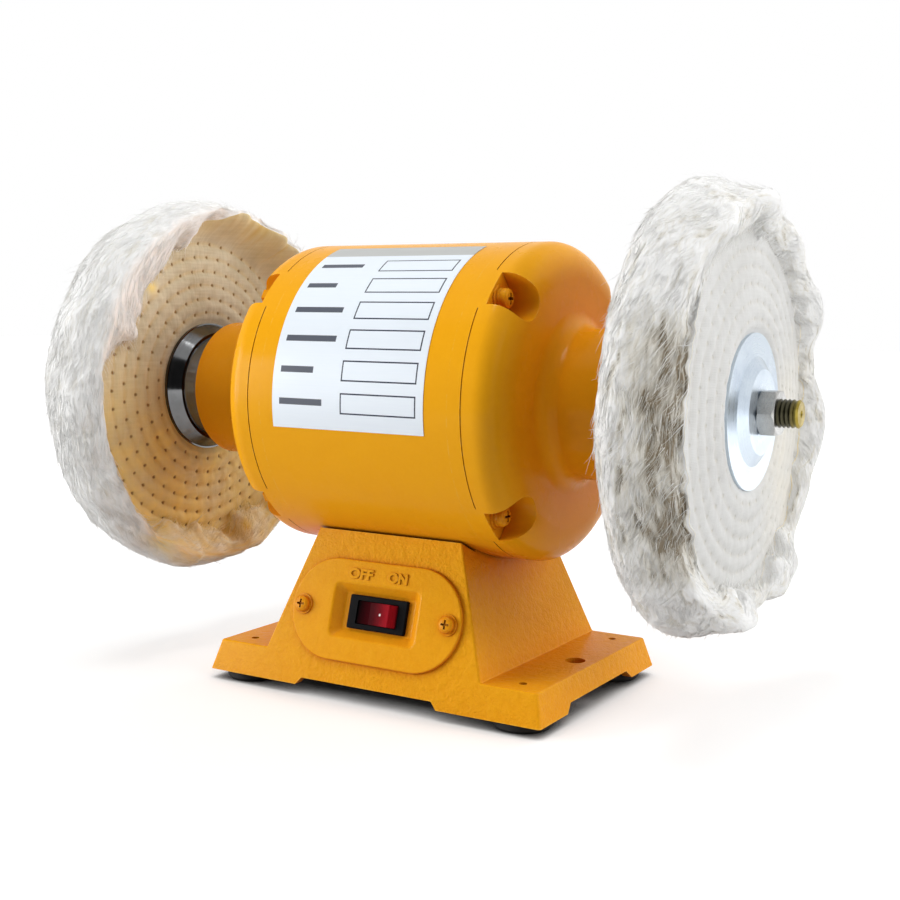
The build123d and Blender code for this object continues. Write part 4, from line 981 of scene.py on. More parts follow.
def luckOf(tree, low, high, seed):
    # a random value for each point
    return addNode(tree, "FunctionNodeRandomValue", {2: low, 3: high, 8: seed}).outputs[1]


def turnedTo(tree, direction, axis):
    return addNode(tree, "FunctionNodeAlignRotationToVector", {"Vector": direction}, axis=axis).outputs[0]


def grow(name, seedMesh, tree, values):
    # runs a tree on a mesh and keeps the result as a plain mesh object
    base = linkObject(name + "Base", seedMesh)
    modifier = base.modifiers.new("grow", "NODES")
    modifier.node_group = tree
    for item in tree.interface.items_tree:
        if item.in_out == "INPUT" and item.name in values:
            modifier[item.identifier] = values[item.name]
    evaluated = base.evaluated_get(bpy.context.evaluated_depsgraph_get())
    mesh = bpy.data.meshes.new_from_object(evaluated)
    base.modifiers.remove(modifier)
    bpy.data.objects.remove(base)
    mesh.name = name
    print(name, "has", sum(len(polygon.vertices) - 2 for polygon in mesh.polygons), "triangles")
    return linkObject(name, mesh)


def plantStrands(tree, enter, here):
    # straight strands on points scattered over the surface, aimed along its combed direction
    density = times(tree, enter["Density"], readAttribute(tree, "thick"))
    inputs = {"Mesh": enter["Geometry"], "Density": density, "Seed": enter["Seed"]}
    scatter = addNode(tree, "GeometryNodeDistributePointsOnFaces", inputs).outputs
    rise = scaled(tree, scatter["Normal"], enter["Lift"])
    lie = vectorCalc(tree, "ADD", readAttribute(tree, "lie", "FLOAT_VECTOR"), rise)
    aim = vectorCalc(tree, "ADD", lie, driftField(tree, here, enter["Swing Size"], enter["Swing"]))
    inputs = {"Vector": here, "Scale": over(tree, 1.0, enter["Lock Size"])}
    lock = addNode(tree, "ShaderNodeTexVoronoi", inputs).outputs["Position"]
    gather = scaled(tree, vectorCalc(tree, "SUBTRACT", lock, here), enter["Lock Pull"])
    points = keepAttribute(tree, scatter["Points"], "gather", gather, "FLOAT_VECTOR")
    # painted shade carried over from the surface, plus a random grey for each strand
    grey = times(tree, luckOf(tree, -1.0, 1.0, enter["Seed"]), enter["Mottle"])
    tint = plus(tree, times(tree, readAttribute(tree, "tint"), enter["Painted Shade Share"]), grey)
    points = keepAttribute(tree, points, "tint", tint)
    for name in ("stain", "bound"):
        points = keepAttribute(tree, points, name, readAttribute(tree, name))
    line = addNode(tree, "GeometryNodeCurvePrimitiveLine", {"Start": (0, 0, 0), "End": (0, 0, 1)})
    strand = addNode(tree, "GeometryNodeResampleCurve", {"Curve": line.outputs[0], "Count": enter["Points"]})
    shortest, longest = minus(tree, 1.0, enter["Uneven"]), plus(tree, 1.0, enter["Uneven"])
    length = times(tree, luckOf(tree, shortest, longest, enter["Seed"]), enter["Length"])
    inputs = {
        "Points": points, "Instance": strand.outputs[0], "Rotation": turnedTo(tree, aim, "Z"),
        "Scale": times(tree, length, readAttribute(tree, "fluff")),
    }
    planted = addNode(tree, "GeometryNodeInstanceOnPoints", inputs)
    return addNode(tree, "GeometryNodeRealizeInstances", {0: planted.outputs[0]}).outputs[0]


def makeFleeceTree(look):
    # strands that grow from a surface, gather in locks and lie down on it along its combed direction
    sizes = (
        "Density", "Length", "Uneven", "Lift", "Width", "Lock Size", "Lock Pull", "Swing", "Swing Size",
        "Wave", "Wave Size", "Matted", "Loft", "Mottle", "Painted Shade Share",
    )
    counts = ("Points", "Seed")
    tree, enter, leave = startTree("fleeceStrands", Float=sizes, Int=counts, Material=("Material",))
    here = addNode(tree, "GeometryNodeInputPosition").outputs[0]
    loose = plantStrands(tree, enter, here)
    share = addNode(tree, "GeometryNodeSplineParameter").outputs["Factor"]
    wave = driftField(tree, here, enter["Wave Size"], enter["Wave"])
    drift = vectorCalc(tree, "ADD", wave, readAttribute(tree, "gather", "FLOAT_VECTOR"))
    bent = scaled(tree, drift, calc(tree, "POWER", share, look["bend"]))
    waved = addNode(tree, "GeometryNodeSetPosition", {"Geometry": loose, "Offset": bent})
    # most of each strand's height over the surface is taken away again
    surface = {0: enter["Geometry"]}
    nearest = addNode(tree, "GeometryNodeProximity", surface, target_element="FACES").outputs["Position"]
    upward = addNode(tree, "GeometryNodeSampleNearestSurface", surface, data_type="FLOAT_VECTOR")
    setSocket(tree, upward.inputs["Value"], addNode(tree, "GeometryNodeInputNormal").outputs[0])
    loft = scaled(tree, upward.outputs[0], times(tree, share, enter["Loft"]))
    lying = vectorCalc(tree, "ADD", nearest, loft)
    matted = times(tree, enter["Matted"], readAttribute(tree, "bound"))
    pressed = addNode(tree, "ShaderNodeMix", {0: matted, 4: here, 5: lying}, data_type="VECTOR").outputs[1]
    laid = addNode(tree, "GeometryNodeSetPosition", {"Geometry": waved.outputs[0], "Position": pressed})
    section = addNode(tree, "GeometryNodeCurvePrimitiveCircle", {"Resolution": look["sides"], "Radius": 1.0})
    width = times(tree, spread(tree, share, 0.0, 1.0, 1.0, look["tip"]), enter["Width"])
    inputs = {
        "Curve": laid.outputs[0], "Profile Curve": section.outputs[0], "Scale": width, "Fill Caps": True,
    }
    body = addNode(tree, "GeometryNodeCurveToMesh", inputs)
    endTree(tree, body.outputs[0], enter["Material"], leave)
    return tree


def makeStitchTree():
    # one short thread laid along each needle hole's ring
    sizes = ("Thread Length", "Thread Width")
    tree, enter, leave = startTree("ringStitches", Float=sizes, Material=("Material",))
    bead = addNode(tree, "GeometryNodeMeshUVSphere", {"Segments": 6, "Rings": 4, "Radius": 0.5})
    inputs = {
        "Points": enter["Geometry"], "Instance": bead.outputs[0],
        "Rotation": turnedTo(tree, readAttribute(tree, "along", "FLOAT_VECTOR"), "X"),
        "Scale": joined(tree, enter["Thread Length"], enter["Thread Width"], enter["Thread Width"]),
    }
    placed = addNode(tree, "GeometryNodeInstanceOnPoints", inputs)
    endTree(tree, placed.outputs[0], enter["Material"], leave)
    return tree


strandLook = {"bend": 1.4, "tip": 0.2, "sides": 3}
fleeceTree = makeFleeceTree(strandLook)
stitchTree = makeStitchTree()


# Buffing wheels: cotton discs sewn together in rings, clamped at the hub and loose at the rim.
# Round a wheel, 0 degrees is the front, 90 the top and 180 the back.
wheelLook = {
    "columns": 560, "faceRows": 50, "rimRows": 64, "crowding": 1.2,  # rows crowd where the cloth is loose
    "bore": 0.022,  # inside the flanges, out of sight
    "swell": 0.0014,  # how far the cotton stands past the flanges' faces beside them
    "sewn": {"In": 0.0034, "Out": 0.0024},  # how far the last ring of sewing lies inside those faces
    "puff": {"In": 0.0012, "Out": 0.0009},  # how far the cloth swells between two rings
    "dimple": {"In": 0.0007, "Out": 0.0003},
    "pucker": 0.0005, "puckerSize": 0.0045,
    "puffRound": 0.7,
    "puffGrowth": 0.004, "puckerGrowth": 0.006,  # distance from the flange over which each one grows
    "edge": 0.0965, "edgeWander": 0.0013,
    "flare": 0.92,  # how much of the way to its CAD width a loose face opens
    "wrinkle": 0.0004,
}
foldLook = {
    "sway": 0.03,  # radians by which the folds wander round the wheel
    "lobe": 1.5, "lobeRound": 0.75,
    "pleat": 0.55, "pleatLean": 2.0, "pleatFrom": 0.08,  # radius past which the pleats lean over
    "crimpLean": 1.5,
    "calmed": 0.75,  # share of its folds that a calm part of the wheel loses
    "lobeDark": 0.3, "pleatDark": 0.25, "pleatShade": 0.6,  # heights below which a fold is painted dark as shade
    "calmShade": 0.35,
}
stainLook = {
    "part": 0.85, "edge": 0.35, "edgeReach": 0.012,
    "rimPatches": (0.8, 0.6),  # evenly and in streaks
    "rimDeep": (0.8, 0.5, 0.3), "rimEdge": (0.2, 0.15, 0.05),  # strength, and the shares it fades between
}
rimLook = {
    "roll": 0.007,  # how far matted cotton stands out from the edge of a face that it lies over
    "lip": 0.003, "openLip": {"In": 0.0016, "Out": 0.0006},  # how far it goes past a covered and an open edge
    "openStep": {"In": 0.0012, "Out": 0.0028},
    "side": 0.0945, "openSide": 0.0992,  # radius where a covered and an open side begin to turn over
    "inset": 0.0015, "openInset": 0.005,
    "quarters": (0.26, 0.52, 0.76),  # shares of the rim's width
    "valley": 0.006, "calmed": 0.8,  # how deep the rim draws in between two lobes, and less in a calm part
    "lumps": 0.0015, "lumpSizes": (0.014, 0.005),
    "girth": 0.07,  # length over the rim from face to face
    "streakLength": 0.011, "streakWidth": 0.0021, "sway": 1.6,
    "crack": 0.0008,  # depth of the gaps between the tufts, which are also painted dark as shade
    "ends": 0.1,  # share of the rim beside each face where lumps and gaps fade
    # gapDark, furrowDark and creaseDark paint shade into the gaps, furrow and valleys, and lumpLight paints
    # light onto the lumps
    "gaps": (0.28, 0.44), "gapDark": 0.7, "lumpLight": 0.08,
    "furrowSoft": 18,  # degrees over which a furrow fades
    "furrowDark": 1.3, "furrowFrom": (0.35, 0.7), "furrowTo": (0.98, 0.88),
    "furrowStreaks": (0.4, 0.65), "streakFade": (-0.4, 0.4),
    "creaseDark": 0.25, "creaseFrom": (0.6, 0.75),
}
wheelHands = {
    "left": {
        "seed": 11,
        # degrees, radius in mm where the woven face ends, and whether matted cotton rolls over that edge
        "edges": {
            "In": (
                (-42, 93, 1), (-5, 94, 1), (8, 92, 1), (13, 77, 1), (27, 67, 1), (40, 71, 1), (56, 74, 1),
                (74, 79, 1), (92, 95, 0.2), (112, 97, 0), (205, 97, 0), (225, 88, 0.8), (250, 81, 1),
                (295, 80, 1), (308, 86, 1),
            ),
            "Out": ((-40, 86, 0.6), (30, 87, 0.6), (60, 82, 1), (180, 81, 1), (300, 81, 1)),
        },
        "calm": {"In": (-42, 95), "Out": (-60, 60)},  # from and to, in degrees
        "fold": {"In": 0.006, "Out": 0.005},
        "stain": (280, 75),  # middle and reach, in degrees, of the part that polish has browned, painted partly as ochre shade
        "rimStainAndShade": (222, 302, 1.0),  # from, to and strength of the same along the rim's inner side
        "spot": (52, 0.069, 0.0035),  # degrees, radius and size of a spot of polish
        "crown": (0.1005, 0.1025, 0.1005),  # radius at the inner quarter, the middle and the outer quarter
        "furrow": (0.001, 0.0, -40, 15),  # depth all round, more depth in one part, and that part's degrees
        "spread": {"In": 0.0, "Out": 0.009},  # how far the loose rim stands past the sewn stack's own width
        "slant": -8.0, "cracks": 0.3,
    },
    "right": {
        "seed": 29,
        "edges": {
            "In": ((-60, 90, 1), (40, 90, 1), (70, 96, 0), (270, 96, 0)),
            "Out": (
                (-50, 86, 0.4), (-25, 90, 0), (22, 90, 0), (44, 87, 0.4), (62, 82, 1), (110, 80, 1),
                (180, 81, 1), (240, 82, 1), (290, 80, 1),
            ),
        },
        "calm": {"In": (-72, 80), "Out": (-48, 52)},
        "fold": {"In": 0.005, "Out": 0.004},
        "stain": (200, 40),
        "rimStainAndShade": (95, 120, 0.3),
        "spot": (150, 0.07, 0.003),
        "crown": (0.1025, 0.1015, 0.099),
        "furrow": (0.002, 0.0045, -30, 14),
        "spread": {"In": 0.004, "Out": 0.002},
        "slant": 24.0, "cracks": 0.7,
    },
}
bedLook = {
    "columns": 480, "rows": 64,
    "slantFrom": (0.3, 0.5), "slantSway": 0.3,
    "freed": 0.9, "freedFrom": (0.14, 0.04),  # strands at a covered edge that the rim doesn't hold down
    "lip": 0.1, "lipReach": 0.08,
    "inward": (0.4, 0.1), "inwardEdge": (0.09, 0.082),  # where strands turn in over a face, and its radius
    # pull out from the shaft, toward the stack, and off the combed way
    "lipLie": (0.35, 0.25, 0.2),
    # pull in to the shaft, forward, toward the stack, and off the combed way
    "inwardLie": (0.8, 0.5, 0.25, 0.8),
    "lipFluff": 0.35, "fluffSway": 0.22, "fluff": (0.3, 2),
    "thickSway": 0.25, "thick": (0.1, 2),
}
fleeceLooks = {
    "Locks": {
        "Density": 0.42e5, "Length": 0.0095, "Uneven": 0.5, "Lift": 0.04, "Width": 0.0002,
        "Lock Size": 0.005, "Lock Pull": 0.7, "Swing": 1.6, "Swing Size": 0.01, "Wave": 0.008,
        "Wave Size": 0.006, "Matted": 0.84, "Loft": 0.0009, "Mottle": 0.1, "Painted Shade Share": 0.25,
        "Points": 4, "Seed": 3,
    },
    "Hair": {
        "Density": 2.0e5, "Length": 0.009, "Uneven": 0.5, "Lift": 0.03, "Width": 0.00012,
        "Lock Size": 0.0035, "Lock Pull": 0.4, "Swing": 1.4, "Swing Size": 0.009, "Wave": 0.007,
        "Wave Size": 0.006, "Matted": 0.92, "Loft": 0.0005, "Mottle": 0.1, "Painted Shade Share": 0.55,
        "Points": 4, "Seed": 8,
    },
    "Down": {
        "Density": 0.3e5, "Length": 0.008, "Uneven": 0.6, "Lift": 0.45, "Width": 0.00011,
        "Lock Size": 0.0025, "Lock Pull": 0.3, "Swing": 2.0, "Swing Size": 0.006, "Wave": 0.006,
        "Wave Size": 0.005, "Matted": 0.35, "Loft": 0.002, "Mottle": 0.06, "Painted Shade Share": 0.2,
        "Points": 4, "Seed": 17,
    },
}
stitchLooks = {"In": ("threadBrown", 0.0016, 0.0007), "Out": ("threadPale", 0.0015, 0.0006)}


def smooth(value):
    value = np.clip(value, 0, 1)
    return value * value * (3 - 2 * value)


def rising(value, start, full):
    # 0 at the start and 1 where it is full, whichever of them is larger
    return smooth((value - start) / (full - start))


def arc(angle, start, stop, soft=14):
    # 1 between two angles in degrees, fading to 0 over the soft angle past each end
    middle, half = math.radians((start + stop) / 2), math.radians((stop - start) / 2)
    away = np.abs((angle - middle + math.pi) % math.tau - math.pi)
    return smooth(1 - (away - half) / math.radians(soft))


def ripple(seed, low, high, fall=0.5):
    # a smooth random line round the wheel, about -1 to 1
    draw = random.Random(seed)
    waves = [(number, draw.uniform(0, math.tau), number**-fall) for number in range(low, high + 1)]
    size = 1.6 * math.sqrt(sum(height * height for *_, height in waves) / 2)
    waves = [(number, phase, height / size) for number, phase, height in waves]
    return lambda angle: sum(height * np.cos(number * angle + phase) for number, phase, height in waves)


def cloudAt(points, size, seed):
    # soft noise, about -1 to 1, at each of many points
    shift = Vector((seed * 1.7, seed * 0.9, seed * 0.3))
    flat = points.reshape(-1, 3) / size
    return np.array([noise.noise(Vector(point) + shift) for point in flat]).reshape(points.shape[:-1])


def combedCloud(angle, shares, seed):
    # noise drawn out in wavy streaks, the way that the rim is combed
    turned = np.broadcast_to(angle, (len(shares), len(angle)))
    span = wheelLook["edge"] / rimLook["streakLength"]
    across = shares[:, None] * rimLook["girth"] / rimLook["streakWidth"]
    across = across + rimLook["sway"] * ripple(seed, 3, 9)(turned)
    return cloudAt(np.stack([across, span * np.cos(turned), span * np.sin(turned)], axis=-1), 1.0, seed)


def wheelMeasures(hand):
    side = sides[hand]

    def span(piece):
        return sorted(side * corner.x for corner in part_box(f"{hand}_{piece}"))

    rimIn, rimOut = span("buffing_wheel")
    return {
        "side": side, "flange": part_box(f"{hand}_outer_flange")[1].z - axisHeight,
        "clamp": {"In": span("inner_flange")[1], "Out": span("outer_flange")[0]},
        "rim": {"In": rimIn, "Out": rimOut},
    }


def placeRound(measures, axial, radius, angle):
    spots = (measures["side"] * axial, -radius * np.cos(angle), axisHeight + radius * np.sin(angle))
    return np.stack(np.broadcast_arrays(*spots), axis=-1)


def faceSeed(hand, which):
    return wheelHands[hand]["seed"] + (100 if which == "Out" else 0)


def edgeRadius(hand, which, angle):
    turns, reaches, covers = zip(*wheelHands[hand]["edges"][which])
    degrees = np.degrees(angle) % 360
    edge = np.interp(degrees, turns, reaches, period=360) * mm
    cover = smooth(np.interp(degrees, turns, covers, period=360))
    wander = wheelLook["edgeWander"] * (1 + cover)
    return edge + wander * ripple(faceSeed(hand, which), 9, 34, 0.2)(angle), cover


def valleyDepth(hand, which, angle):
    # 0 on the top of a lobe of loose cotton, up to 1 in the valley beside it
    wave = 0.5 + 0.5 * np.clip(ripple(faceSeed(hand, which) + 2, 7, 12, 0.3)(angle), -1, 1)
    calm = arc(angle, *wheelHands[hand]["calm"][which])
    return (1 - smooth(wave)) * (1 - rimLook["calmed"] * calm)


def sewnRings():
    # number, radius and count of needle holes of each ring of sewing
    for ring in range(sewing["rings"]):
        radius = sewing["first"] + ring * sewing["pitch"]
        yield ring, radius, round(math.tau * radius / sewing["gap"])


def sewnRelief(which, radius, angle, flange):
    # cloth that swells between the rings and dips at each needle hole
    beat = np.abs(np.sin(math.pi * (radius - sewing["first"]) / sewing["pitch"])) ** wheelLook["puffRound"]
    inside = radius < sewnRadius + sewing["pitch"] / 2
    grown = rising(radius, flange, flange + wheelLook["puffGrowth"])
    relief = wheelLook["puff"][which] * np.where(inside, beat * grown, 1.0)
    for ring, ringRadius, count in sewnRings():
        turn = angle / math.tau * count + sewing["stagger"] * ring
        along = (turn - np.floor(turn) - 0.5) * math.tau * ringRadius / count
        away = along**2 + (radius - ringRadius) ** 2
        relief = relief - wheelLook["dimple"][which] * np.exp(-away / sewing["groove"] ** 2)
    return relief


def faceSurface(hand, which, radius, angle):
    # one woven face of a wheel: its axial place and the shade painted on each point, deepest in its folds
    measures, own, look = wheelMeasures(hand), wheelHands[hand], foldLook
    flange, clamp = measures["flange"], measures["clamp"][which]
    sewn = wheelLook["sewn"][which]
    seed = faceSeed(hand, which)
    cover = edgeRadius(hand, which, angle)[1]
    offset = np.interp(radius, (flange, sewing["first"], sewnRadius), (0, wheelLook["swell"], -sewn))
    loose = rising(radius, sewnRadius, wheelLook["edge"])
    flare = (1 - cover) * loose
    reach = wheelLook["flare"] * (abs(measures["rim"][which] - clamp) + sewn)
    bent = angle + look["sway"] * loose * ripple(seed + 1, 4, 14)(angle)
    lobe = np.abs(ripple(seed + 2, 5, 9)(bent)) ** look["lobeRound"]
    lean = look["pleatLean"] * (radius - look["pleatFrom"])
    pleat = np.abs(ripple(seed + 3, 11, 21)(bent + lean))
    lively = 1 - look["calmed"] * arc(angle, *own["calm"][which])
    height = own["fold"][which] * (look["lobe"] * lobe + look["pleat"] * pleat - 1.0) * lively
    crimp = wheelLook["wrinkle"] * ripple(seed + 4, 40, 90, 0.1)(bent + look["crimpLean"] * radius)
    relief = sewnRelief(which, radius, angle, flange) + flare * (reach + height) + loose * crimp
    pucker = cloudAt(placeRound(measures, clamp + 0 * radius, radius, angle), wheelLook["puckerSize"], seed)
    grown = rising(radius, flange, flange + wheelLook["puckerGrowth"])
    relief = relief + wheelLook["pucker"] * pucker * grown
    paintedShade = rising(lobe, look["lobeDark"], 0) + look["pleatShade"] * rising(pleat, look["pleatDark"], 0)
    paintedShade = flare * paintedShade * (look["calmShade"] + (1 - look["calmShade"]) * lively)
    outward = 1 if which == "Out" else -1
    return clamp + outward * (offset + relief), np.clip(paintedShade, 0, 1)


def throughPoints(controls, shares):
    # a smooth line through the given values, for each column
    knots = np.stack(np.broadcast_arrays(*controls))
    last = len(knots) - 2
    knots = np.concatenate([2 * knots[:1] - knots[1:2], knots, 2 * knots[-1:] - knots[-2:-1]])
    spot = shares * (last + 1)
    first = np.minimum(spot.astype(int), last)
    part = (spot - first)[:, None]
    a, b, c, d = (knots[first + step] for step in range(4))
    bend, twist = 2 * a - 5 * b + 4 * c - d, 3 * b - a - 3 * c + d
    return 0.5 * (2 * b + (c - a) * part + bend * part**2 + twist * part**3)


def rimProfile(hand, shares, angle):
    # axial place and radius over the rim, from the edge of the inner face to the edge of the outer one
    measures, own, look = wheelMeasures(hand), wheelHands[hand], rimLook
    low = measures["rim"]["In"] - own["spread"]["In"]
    high = measures["rim"]["Out"] + own["spread"]["Out"]
    width = high - low
    shallow, deep, *part = own["furrow"]
    furrow = shallow + deep * arc(angle, *part, look["furrowSoft"])
    crownIn, crown, crownOut = own["crown"]
    inner, middle, outer = (low + share * width for share in look["quarters"])
    edgeIn, coverIn = edgeRadius(hand, "In", angle)
    edgeOut, coverOut = edgeRadius(hand, "Out", angle)
    faceIn, faceOut = faceSurface(hand, "In", edgeIn, angle)[0], faceSurface(hand, "Out", edgeOut, angle)[0]
    valleyIn, valleyOut = (look["valley"] * valleyDepth(hand, which, angle) for which in ("In", "Out"))

    def either(cover, covered, opened):
        return covered * cover + opened * (1 - cover)

    axial = [
        faceIn,
        either(coverIn, faceIn - look["roll"] + 0.5 * valleyIn, faceIn + look["openStep"]["In"]),
        either(coverIn, low + look["inset"] + valleyIn, low + look["openInset"]),
        inner,
        middle,
        either(coverOut, high - look["inset"] - valleyOut, outer),
        either(coverOut, faceOut + look["roll"] - 0.5 * valleyOut, faceOut - look["openStep"]["Out"]),
        faceOut,
    ]
    radius = [
        edgeIn,
        edgeIn + either(coverIn, look["lip"], look["openLip"]["In"]),
        either(coverIn, look["side"] - 0.2 * valleyIn, look["openSide"]),
        crownIn - 0.3 * valleyIn - 0.2 * furrow,
        crown - 0.8 * furrow,
        either(coverOut, look["side"] - 0.4 * valleyOut, crownOut - furrow),
        edgeOut + either(coverOut, look["lip"], look["openLip"]["Out"]),
        edgeOut,
    ]
    return throughPoints(axial, shares), throughPoints(radius, shares)


def rimSurface(hand, shares, angle):
    # the matted rim: its axial place, its radius and the shade painted on each point
    own, look = wheelHands[hand], rimLook
    axial, radius = rimProfile(hand, shares, angle)
    points = placeRound(wheelMeasures(hand), axial, radius, angle)
    large, small = (cloudAt(points, size, own["seed"] + step) for step, size in enumerate(look["lumpSizes"]))
    lumps = large + 0.5 * small
    streaks = combedCloud(angle, shares, own["seed"] + 2)
    fade = (rising(shares, 0, look["ends"]) * rising(shares, 1, 1 - look["ends"]))[:, None]
    cracks = own["cracks"] * fade * rising(streaks, *look["gaps"])
    radius = radius + fade * look["lumps"] * lumps - look["crack"] * cracks
    # painted shade in the gaps between tufts, painted light on the lumps
    paintedShade = look["gapDark"] * cracks - look["lumpLight"] * lumps
    _, deep, *part = own["furrow"]
    # painted shade in the furrow
    if deep > 0:
        across = rising(shares, *look["furrowFrom"]) * rising(shares, *look["furrowTo"])
        even, streaky = look["furrowStreaks"]
        patchy = even + streaky * rising(streaks, *look["streakFade"])
        hollow = arc(angle, *part, look["furrowSoft"]) * across[:, None]
        paintedShade = paintedShade + look["furrowDark"] * hollow * patchy
    # painted shade in the valleys between lobes
    cover = edgeRadius(hand, "Out", angle)[1]
    crease = look["creaseDark"] * cover * valleyDepth(hand, "Out", angle) ** 2
    paintedShade = paintedShade + crease * rising(shares, *look["creaseFrom"])[:, None]
    return axial, radius, np.clip(paintedShade, 0, 1)


def rimStainAndShade(hand, shares, angle):
    # where polish has browned the rim, most of all beside the inner face; partly painted ochre shade
    start, stop, strength = wheelHands[hand]["rimStainAndShade"]
    even, streaky = stainLook["rimPatches"]
    patchy = even + streaky * combedCloud(angle, shares, wheelHands[hand]["seed"] + 50)
    bands = (stainLook["rimDeep"], stainLook["rimEdge"])
    depth = sum(share * rising(shares, *fade) for share, *fade in bands)
    return strength * arc(angle, start, stop) * patchy * depth[:, None]


def gridFaces(rows, closed):
    # faces of a grid that closes round the wheel, and if asked from its last row to its first
    index = np.arange(rows.shape[0] * rows.shape[1]).reshape(rows.shape[:2])
    down = np.roll(index, -1, 0)
    faces = np.stack([index, down, np.roll(down, -1, 1), np.roll(index, -1, 1)], axis=-1)
    return (faces if closed else faces[:-1]).reshape(-1, 4).tolist()


def putAttribute(mesh, name, values):
    values = np.asarray(values, dtype=np.float32)
    if values.size == 3 * len(mesh.vertices):
        mesh.attributes.new(name, "FLOAT_VECTOR", "POINT").data.foreach_set("vector", values.ravel())
    else:
        mesh.attributes.new(name, "FLOAT", "POINT").data.foreach_set("value", values.ravel())


def faceOutward(mesh, centreOf=None):
    shell = bmesh.new()
    shell.from_mesh(mesh)
    bmesh.ops.recalc_face_normals(shell, faces=shell.faces)
    if centreOf:
        outside = shell.faces[len(shell.faces) // 2]
        middle = outside.calc_center_median()
        if outside.normal.dot(middle - centreOf(middle)) < 0:
            bmesh.ops.reverse_faces(shell, faces=shell.faces)
    shell.to_mesh(mesh)
    shell.free()


def faceStainAndShade(hand, radius, angle):
    # where polish has browned a face, partly as painted ochre shade: on one part, a little along its edge,
    # and in one spot
    middle, reach = wheelHands[hand]["stain"]
    spotTurn, spotRadius, spotSize = wheelHands[hand]["spot"]
    browned = arc(angle, middle - reach / 2, middle + reach / 2, reach)
    edge = rising(radius, sewnRadius, sewnRadius + stainLook["edgeReach"])
    stain = stainLook["part"] * browned + stainLook["edge"] * edge * (1 - browned)
    away = (radius - spotRadius) ** 2 + (radius * (angle - math.radians(spotTurn))) ** 2
    return np.maximum(stain, np.exp(-away / spotSize**2))


def wheelCloth(hand):
    measures = wheelMeasures(hand)
    columns, faceRows, rimRows = (wheelLook[name] for name in ("columns", "faceRows", "rimRows"))
    angle = np.linspace(0, math.tau, columns, endpoint=False)
    faceShares = 1 - (1 - np.linspace(0, 1, faceRows)) ** wheelLook["crowding"]
    rimShares = np.linspace(0, 1, rimRows + 2)[1:-1]
    rows, foldShades, stains = [], [], []
    for which in ("In", "Out"):
        edge = edgeRadius(hand, which, angle)[0]
        radius = wheelLook["bore"] + (edge - wheelLook["bore"]) * faceShares[:, None]
        axial, fold = faceSurface(hand, which, radius, angle)
        rows.append(placeRound(measures, axial, radius, angle))
        foldShades.append(fold)
        stains.append(faceStainAndShade(hand, radius, angle))
    axial, radius, paintedShade = rimSurface(hand, rimShares, angle)
    rows = np.concatenate([rows[0], placeRound(measures, axial, radius, angle), rows[1][::-1]])
    foldShades = np.concatenate([foldShades[0], paintedShade, foldShades[1][::-1]])
    stains = np.concatenate([stains[0], rimStainAndShade(hand, rimShares, angle), stains[1][::-1]])
    skins = np.repeat([0] * (faceRows - 1) + [2] * (rimRows + 1) + [1] * faceRows, columns)
    mesh = bpy.data.meshes.new(f"{hand}WheelCloth")
    mesh.from_pydata(rows.reshape(-1, 3), [], gridFaces(rows, True))
    mesh.polygons.foreach_set("material_index", skins.astype(np.int32))
    faceOutward(mesh)
    # fold holds the painted shade of the faces' folds and of the rim
    putAttribute(mesh, "fold", foldShades)
    putAttribute(mesh, "stain", stains)
    mesh.shade_smooth()
    for finish in ("muslinTan", "muslinPale", "rimWool"):
        mesh.materials.append(materials[finish])
    return linkObject(f"{hand}WheelCloth", mesh)


def combedLie(hand, shares, turned):
    # the way that the rim's strands lie, and how closely they keep to the rim
    own, look = wheelHands[hand], bedLook
    outward = np.array([sides[hand], 0.0, 0.0])
    zero = np.zeros_like(turned)
    forward = np.stack([zero, -np.sin(turned), -np.cos(turned)], axis=-1)
    radial = np.stack([zero, -np.cos(turned), np.sin(turned)], axis=-1)
    slant = math.radians(own["slant"]) * rising(shares, *look["slantFrom"])[:, None]
    sway = ripple(own["seed"] + 40, 5, 22, 0.3)(turned + 0.5 * shares[:, None])
    slant = slant + look["slantSway"] * sway
    lie = forward * np.cos(slant)[..., None] - outward * np.sin(slant)[..., None]
    bound = np.ones_like(turned)
    lipOut, lipStack, lipLess = look["lipLie"]
    inDown, inForward, inStack, inLess = look["inwardLie"]
    # out over the edge of an open face, and in over a covered one where the cotton reaches far in
    for which, near, toStack in (("In", shares, outward), ("Out", 1 - shares, -outward)):
        edge, cover = edgeRadius(hand, which, turned)
        bound = bound - look["freed"] * rising(near, *look["freedFrom"])[:, None] * cover
        lip = rising(near, look["lip"], 0)[:, None] * (1 - cover)
        lie = lie + lip[..., None] * (lipOut * radial + lipStack * toStack - lipLess * lie)
        reach = rising(near, *look["inward"])[:, None] * cover * rising(edge, *look["inwardEdge"])
        turnIn = inForward * forward + inStack * toStack - inDown * radial
        lie = lie + reach[..., None] * (turnIn - inLess * lie)
    return lie / np.linalg.norm(lie, axis=-1, keepdims=True), bound


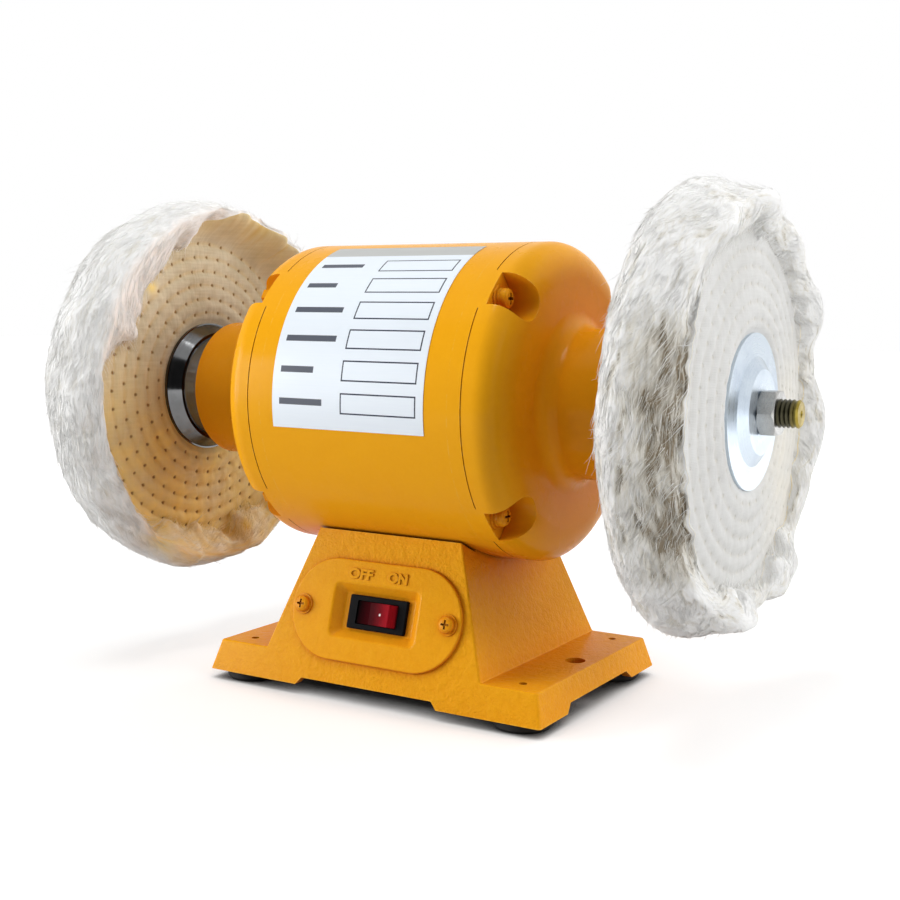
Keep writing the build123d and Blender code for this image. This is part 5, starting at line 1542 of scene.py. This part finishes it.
def fleeceBed(hand):
    # the surface that the rim's strands grow from
    seed, look = wheelHands[hand]["seed"], bedLook
    angle = np.linspace(0, math.tau, look["columns"], endpoint=False)
    shares = np.linspace(0, 1, look["rows"])
    axial, radius, paintedShade = rimSurface(hand, shares, angle)
    rows = placeRound(wheelMeasures(hand), axial, radius, angle)
    mesh = bpy.data.meshes.new(f"{hand}FleeceBed")
    mesh.from_pydata(rows.reshape(-1, 3), [], gridFaces(rows, False))
    faceOutward(mesh, lambda middle: Vector((middle.x, 0, axisHeight)))
    turned = np.broadcast_to(angle, axial.shape)
    lie, bound = combedLie(hand, shares, turned)
    lips = rising(np.minimum(shares, 1 - shares), look["lipReach"], 0)[:, None]
    long = ripple(seed + 41, 7, 30, 0.2)(turned + shares[:, None])
    dense = ripple(seed + 42, 9, 36, 0.2)(turned - shares[:, None])
    fluff = 1 - look["lipFluff"] * lips + look["fluffSway"] * long
    thick = 1 + look["thickSway"] * dense
    putAttribute(mesh, "lie", lie)
    putAttribute(mesh, "fluff", np.clip(fluff, *look["fluff"]))
    putAttribute(mesh, "thick", np.clip(thick, *look["thick"]))
    putAttribute(mesh, "bound", bound)
    putAttribute(mesh, "tint", paintedShade)
    putAttribute(mesh, "stain", rimStainAndShade(hand, shares, angle))
    return mesh


def stitchPoints(hand, which):
    # a point at each needle hole, with the direction of its ring
    measures = wheelMeasures(hand)
    points, along = [], []
    for ring, ringRadius, count in sewnRings():
        angle = (np.arange(count) + 0.5 - sewing["stagger"] * ring) * math.tau / count
        angle = angle[edgeRadius(hand, which, angle)[0] > ringRadius + sewing["clear"]]
        axial = faceSurface(hand, which, np.full_like(angle, ringRadius), angle)[0]
        points.append(placeRound(measures, axial, ringRadius, angle))
        along.append(np.stack([np.zeros_like(angle), np.sin(angle), np.cos(angle)], axis=-1))
    mesh = bpy.data.meshes.new(f"{hand}Stitches{which}")
    mesh.from_pydata(np.concatenate(points), [], [])
    putAttribute(mesh, "along", np.concatenate(along))
    return mesh


for hand in sides:
    cloth = wheelCloth(hand)
    finishPiece(cloth, "rotor", "sewn_cotton", f"{hand}_buffing_wheel")
    bed = fleeceBed(hand)
    for style, look in fleeceLooks.items():
        strands = grow(f"{hand}Fleece{style}", bed, fleeceTree, {**look, "Material": materials["fleece"]})
        finishPiece(strands, "rotor", "sewn_cotton")
    for which, (thread, length, width) in stitchLooks.items():
        values = {"Thread Length": length, "Thread Width": width, "Material": materials[thread]}
        stitches = grow(f"{hand}Stitches{which}", stitchPoints(hand, which), stitchTree, values)
        finishPiece(stitches, "rotor", "sewn_cotton")
    print(hand, "wheel ready")
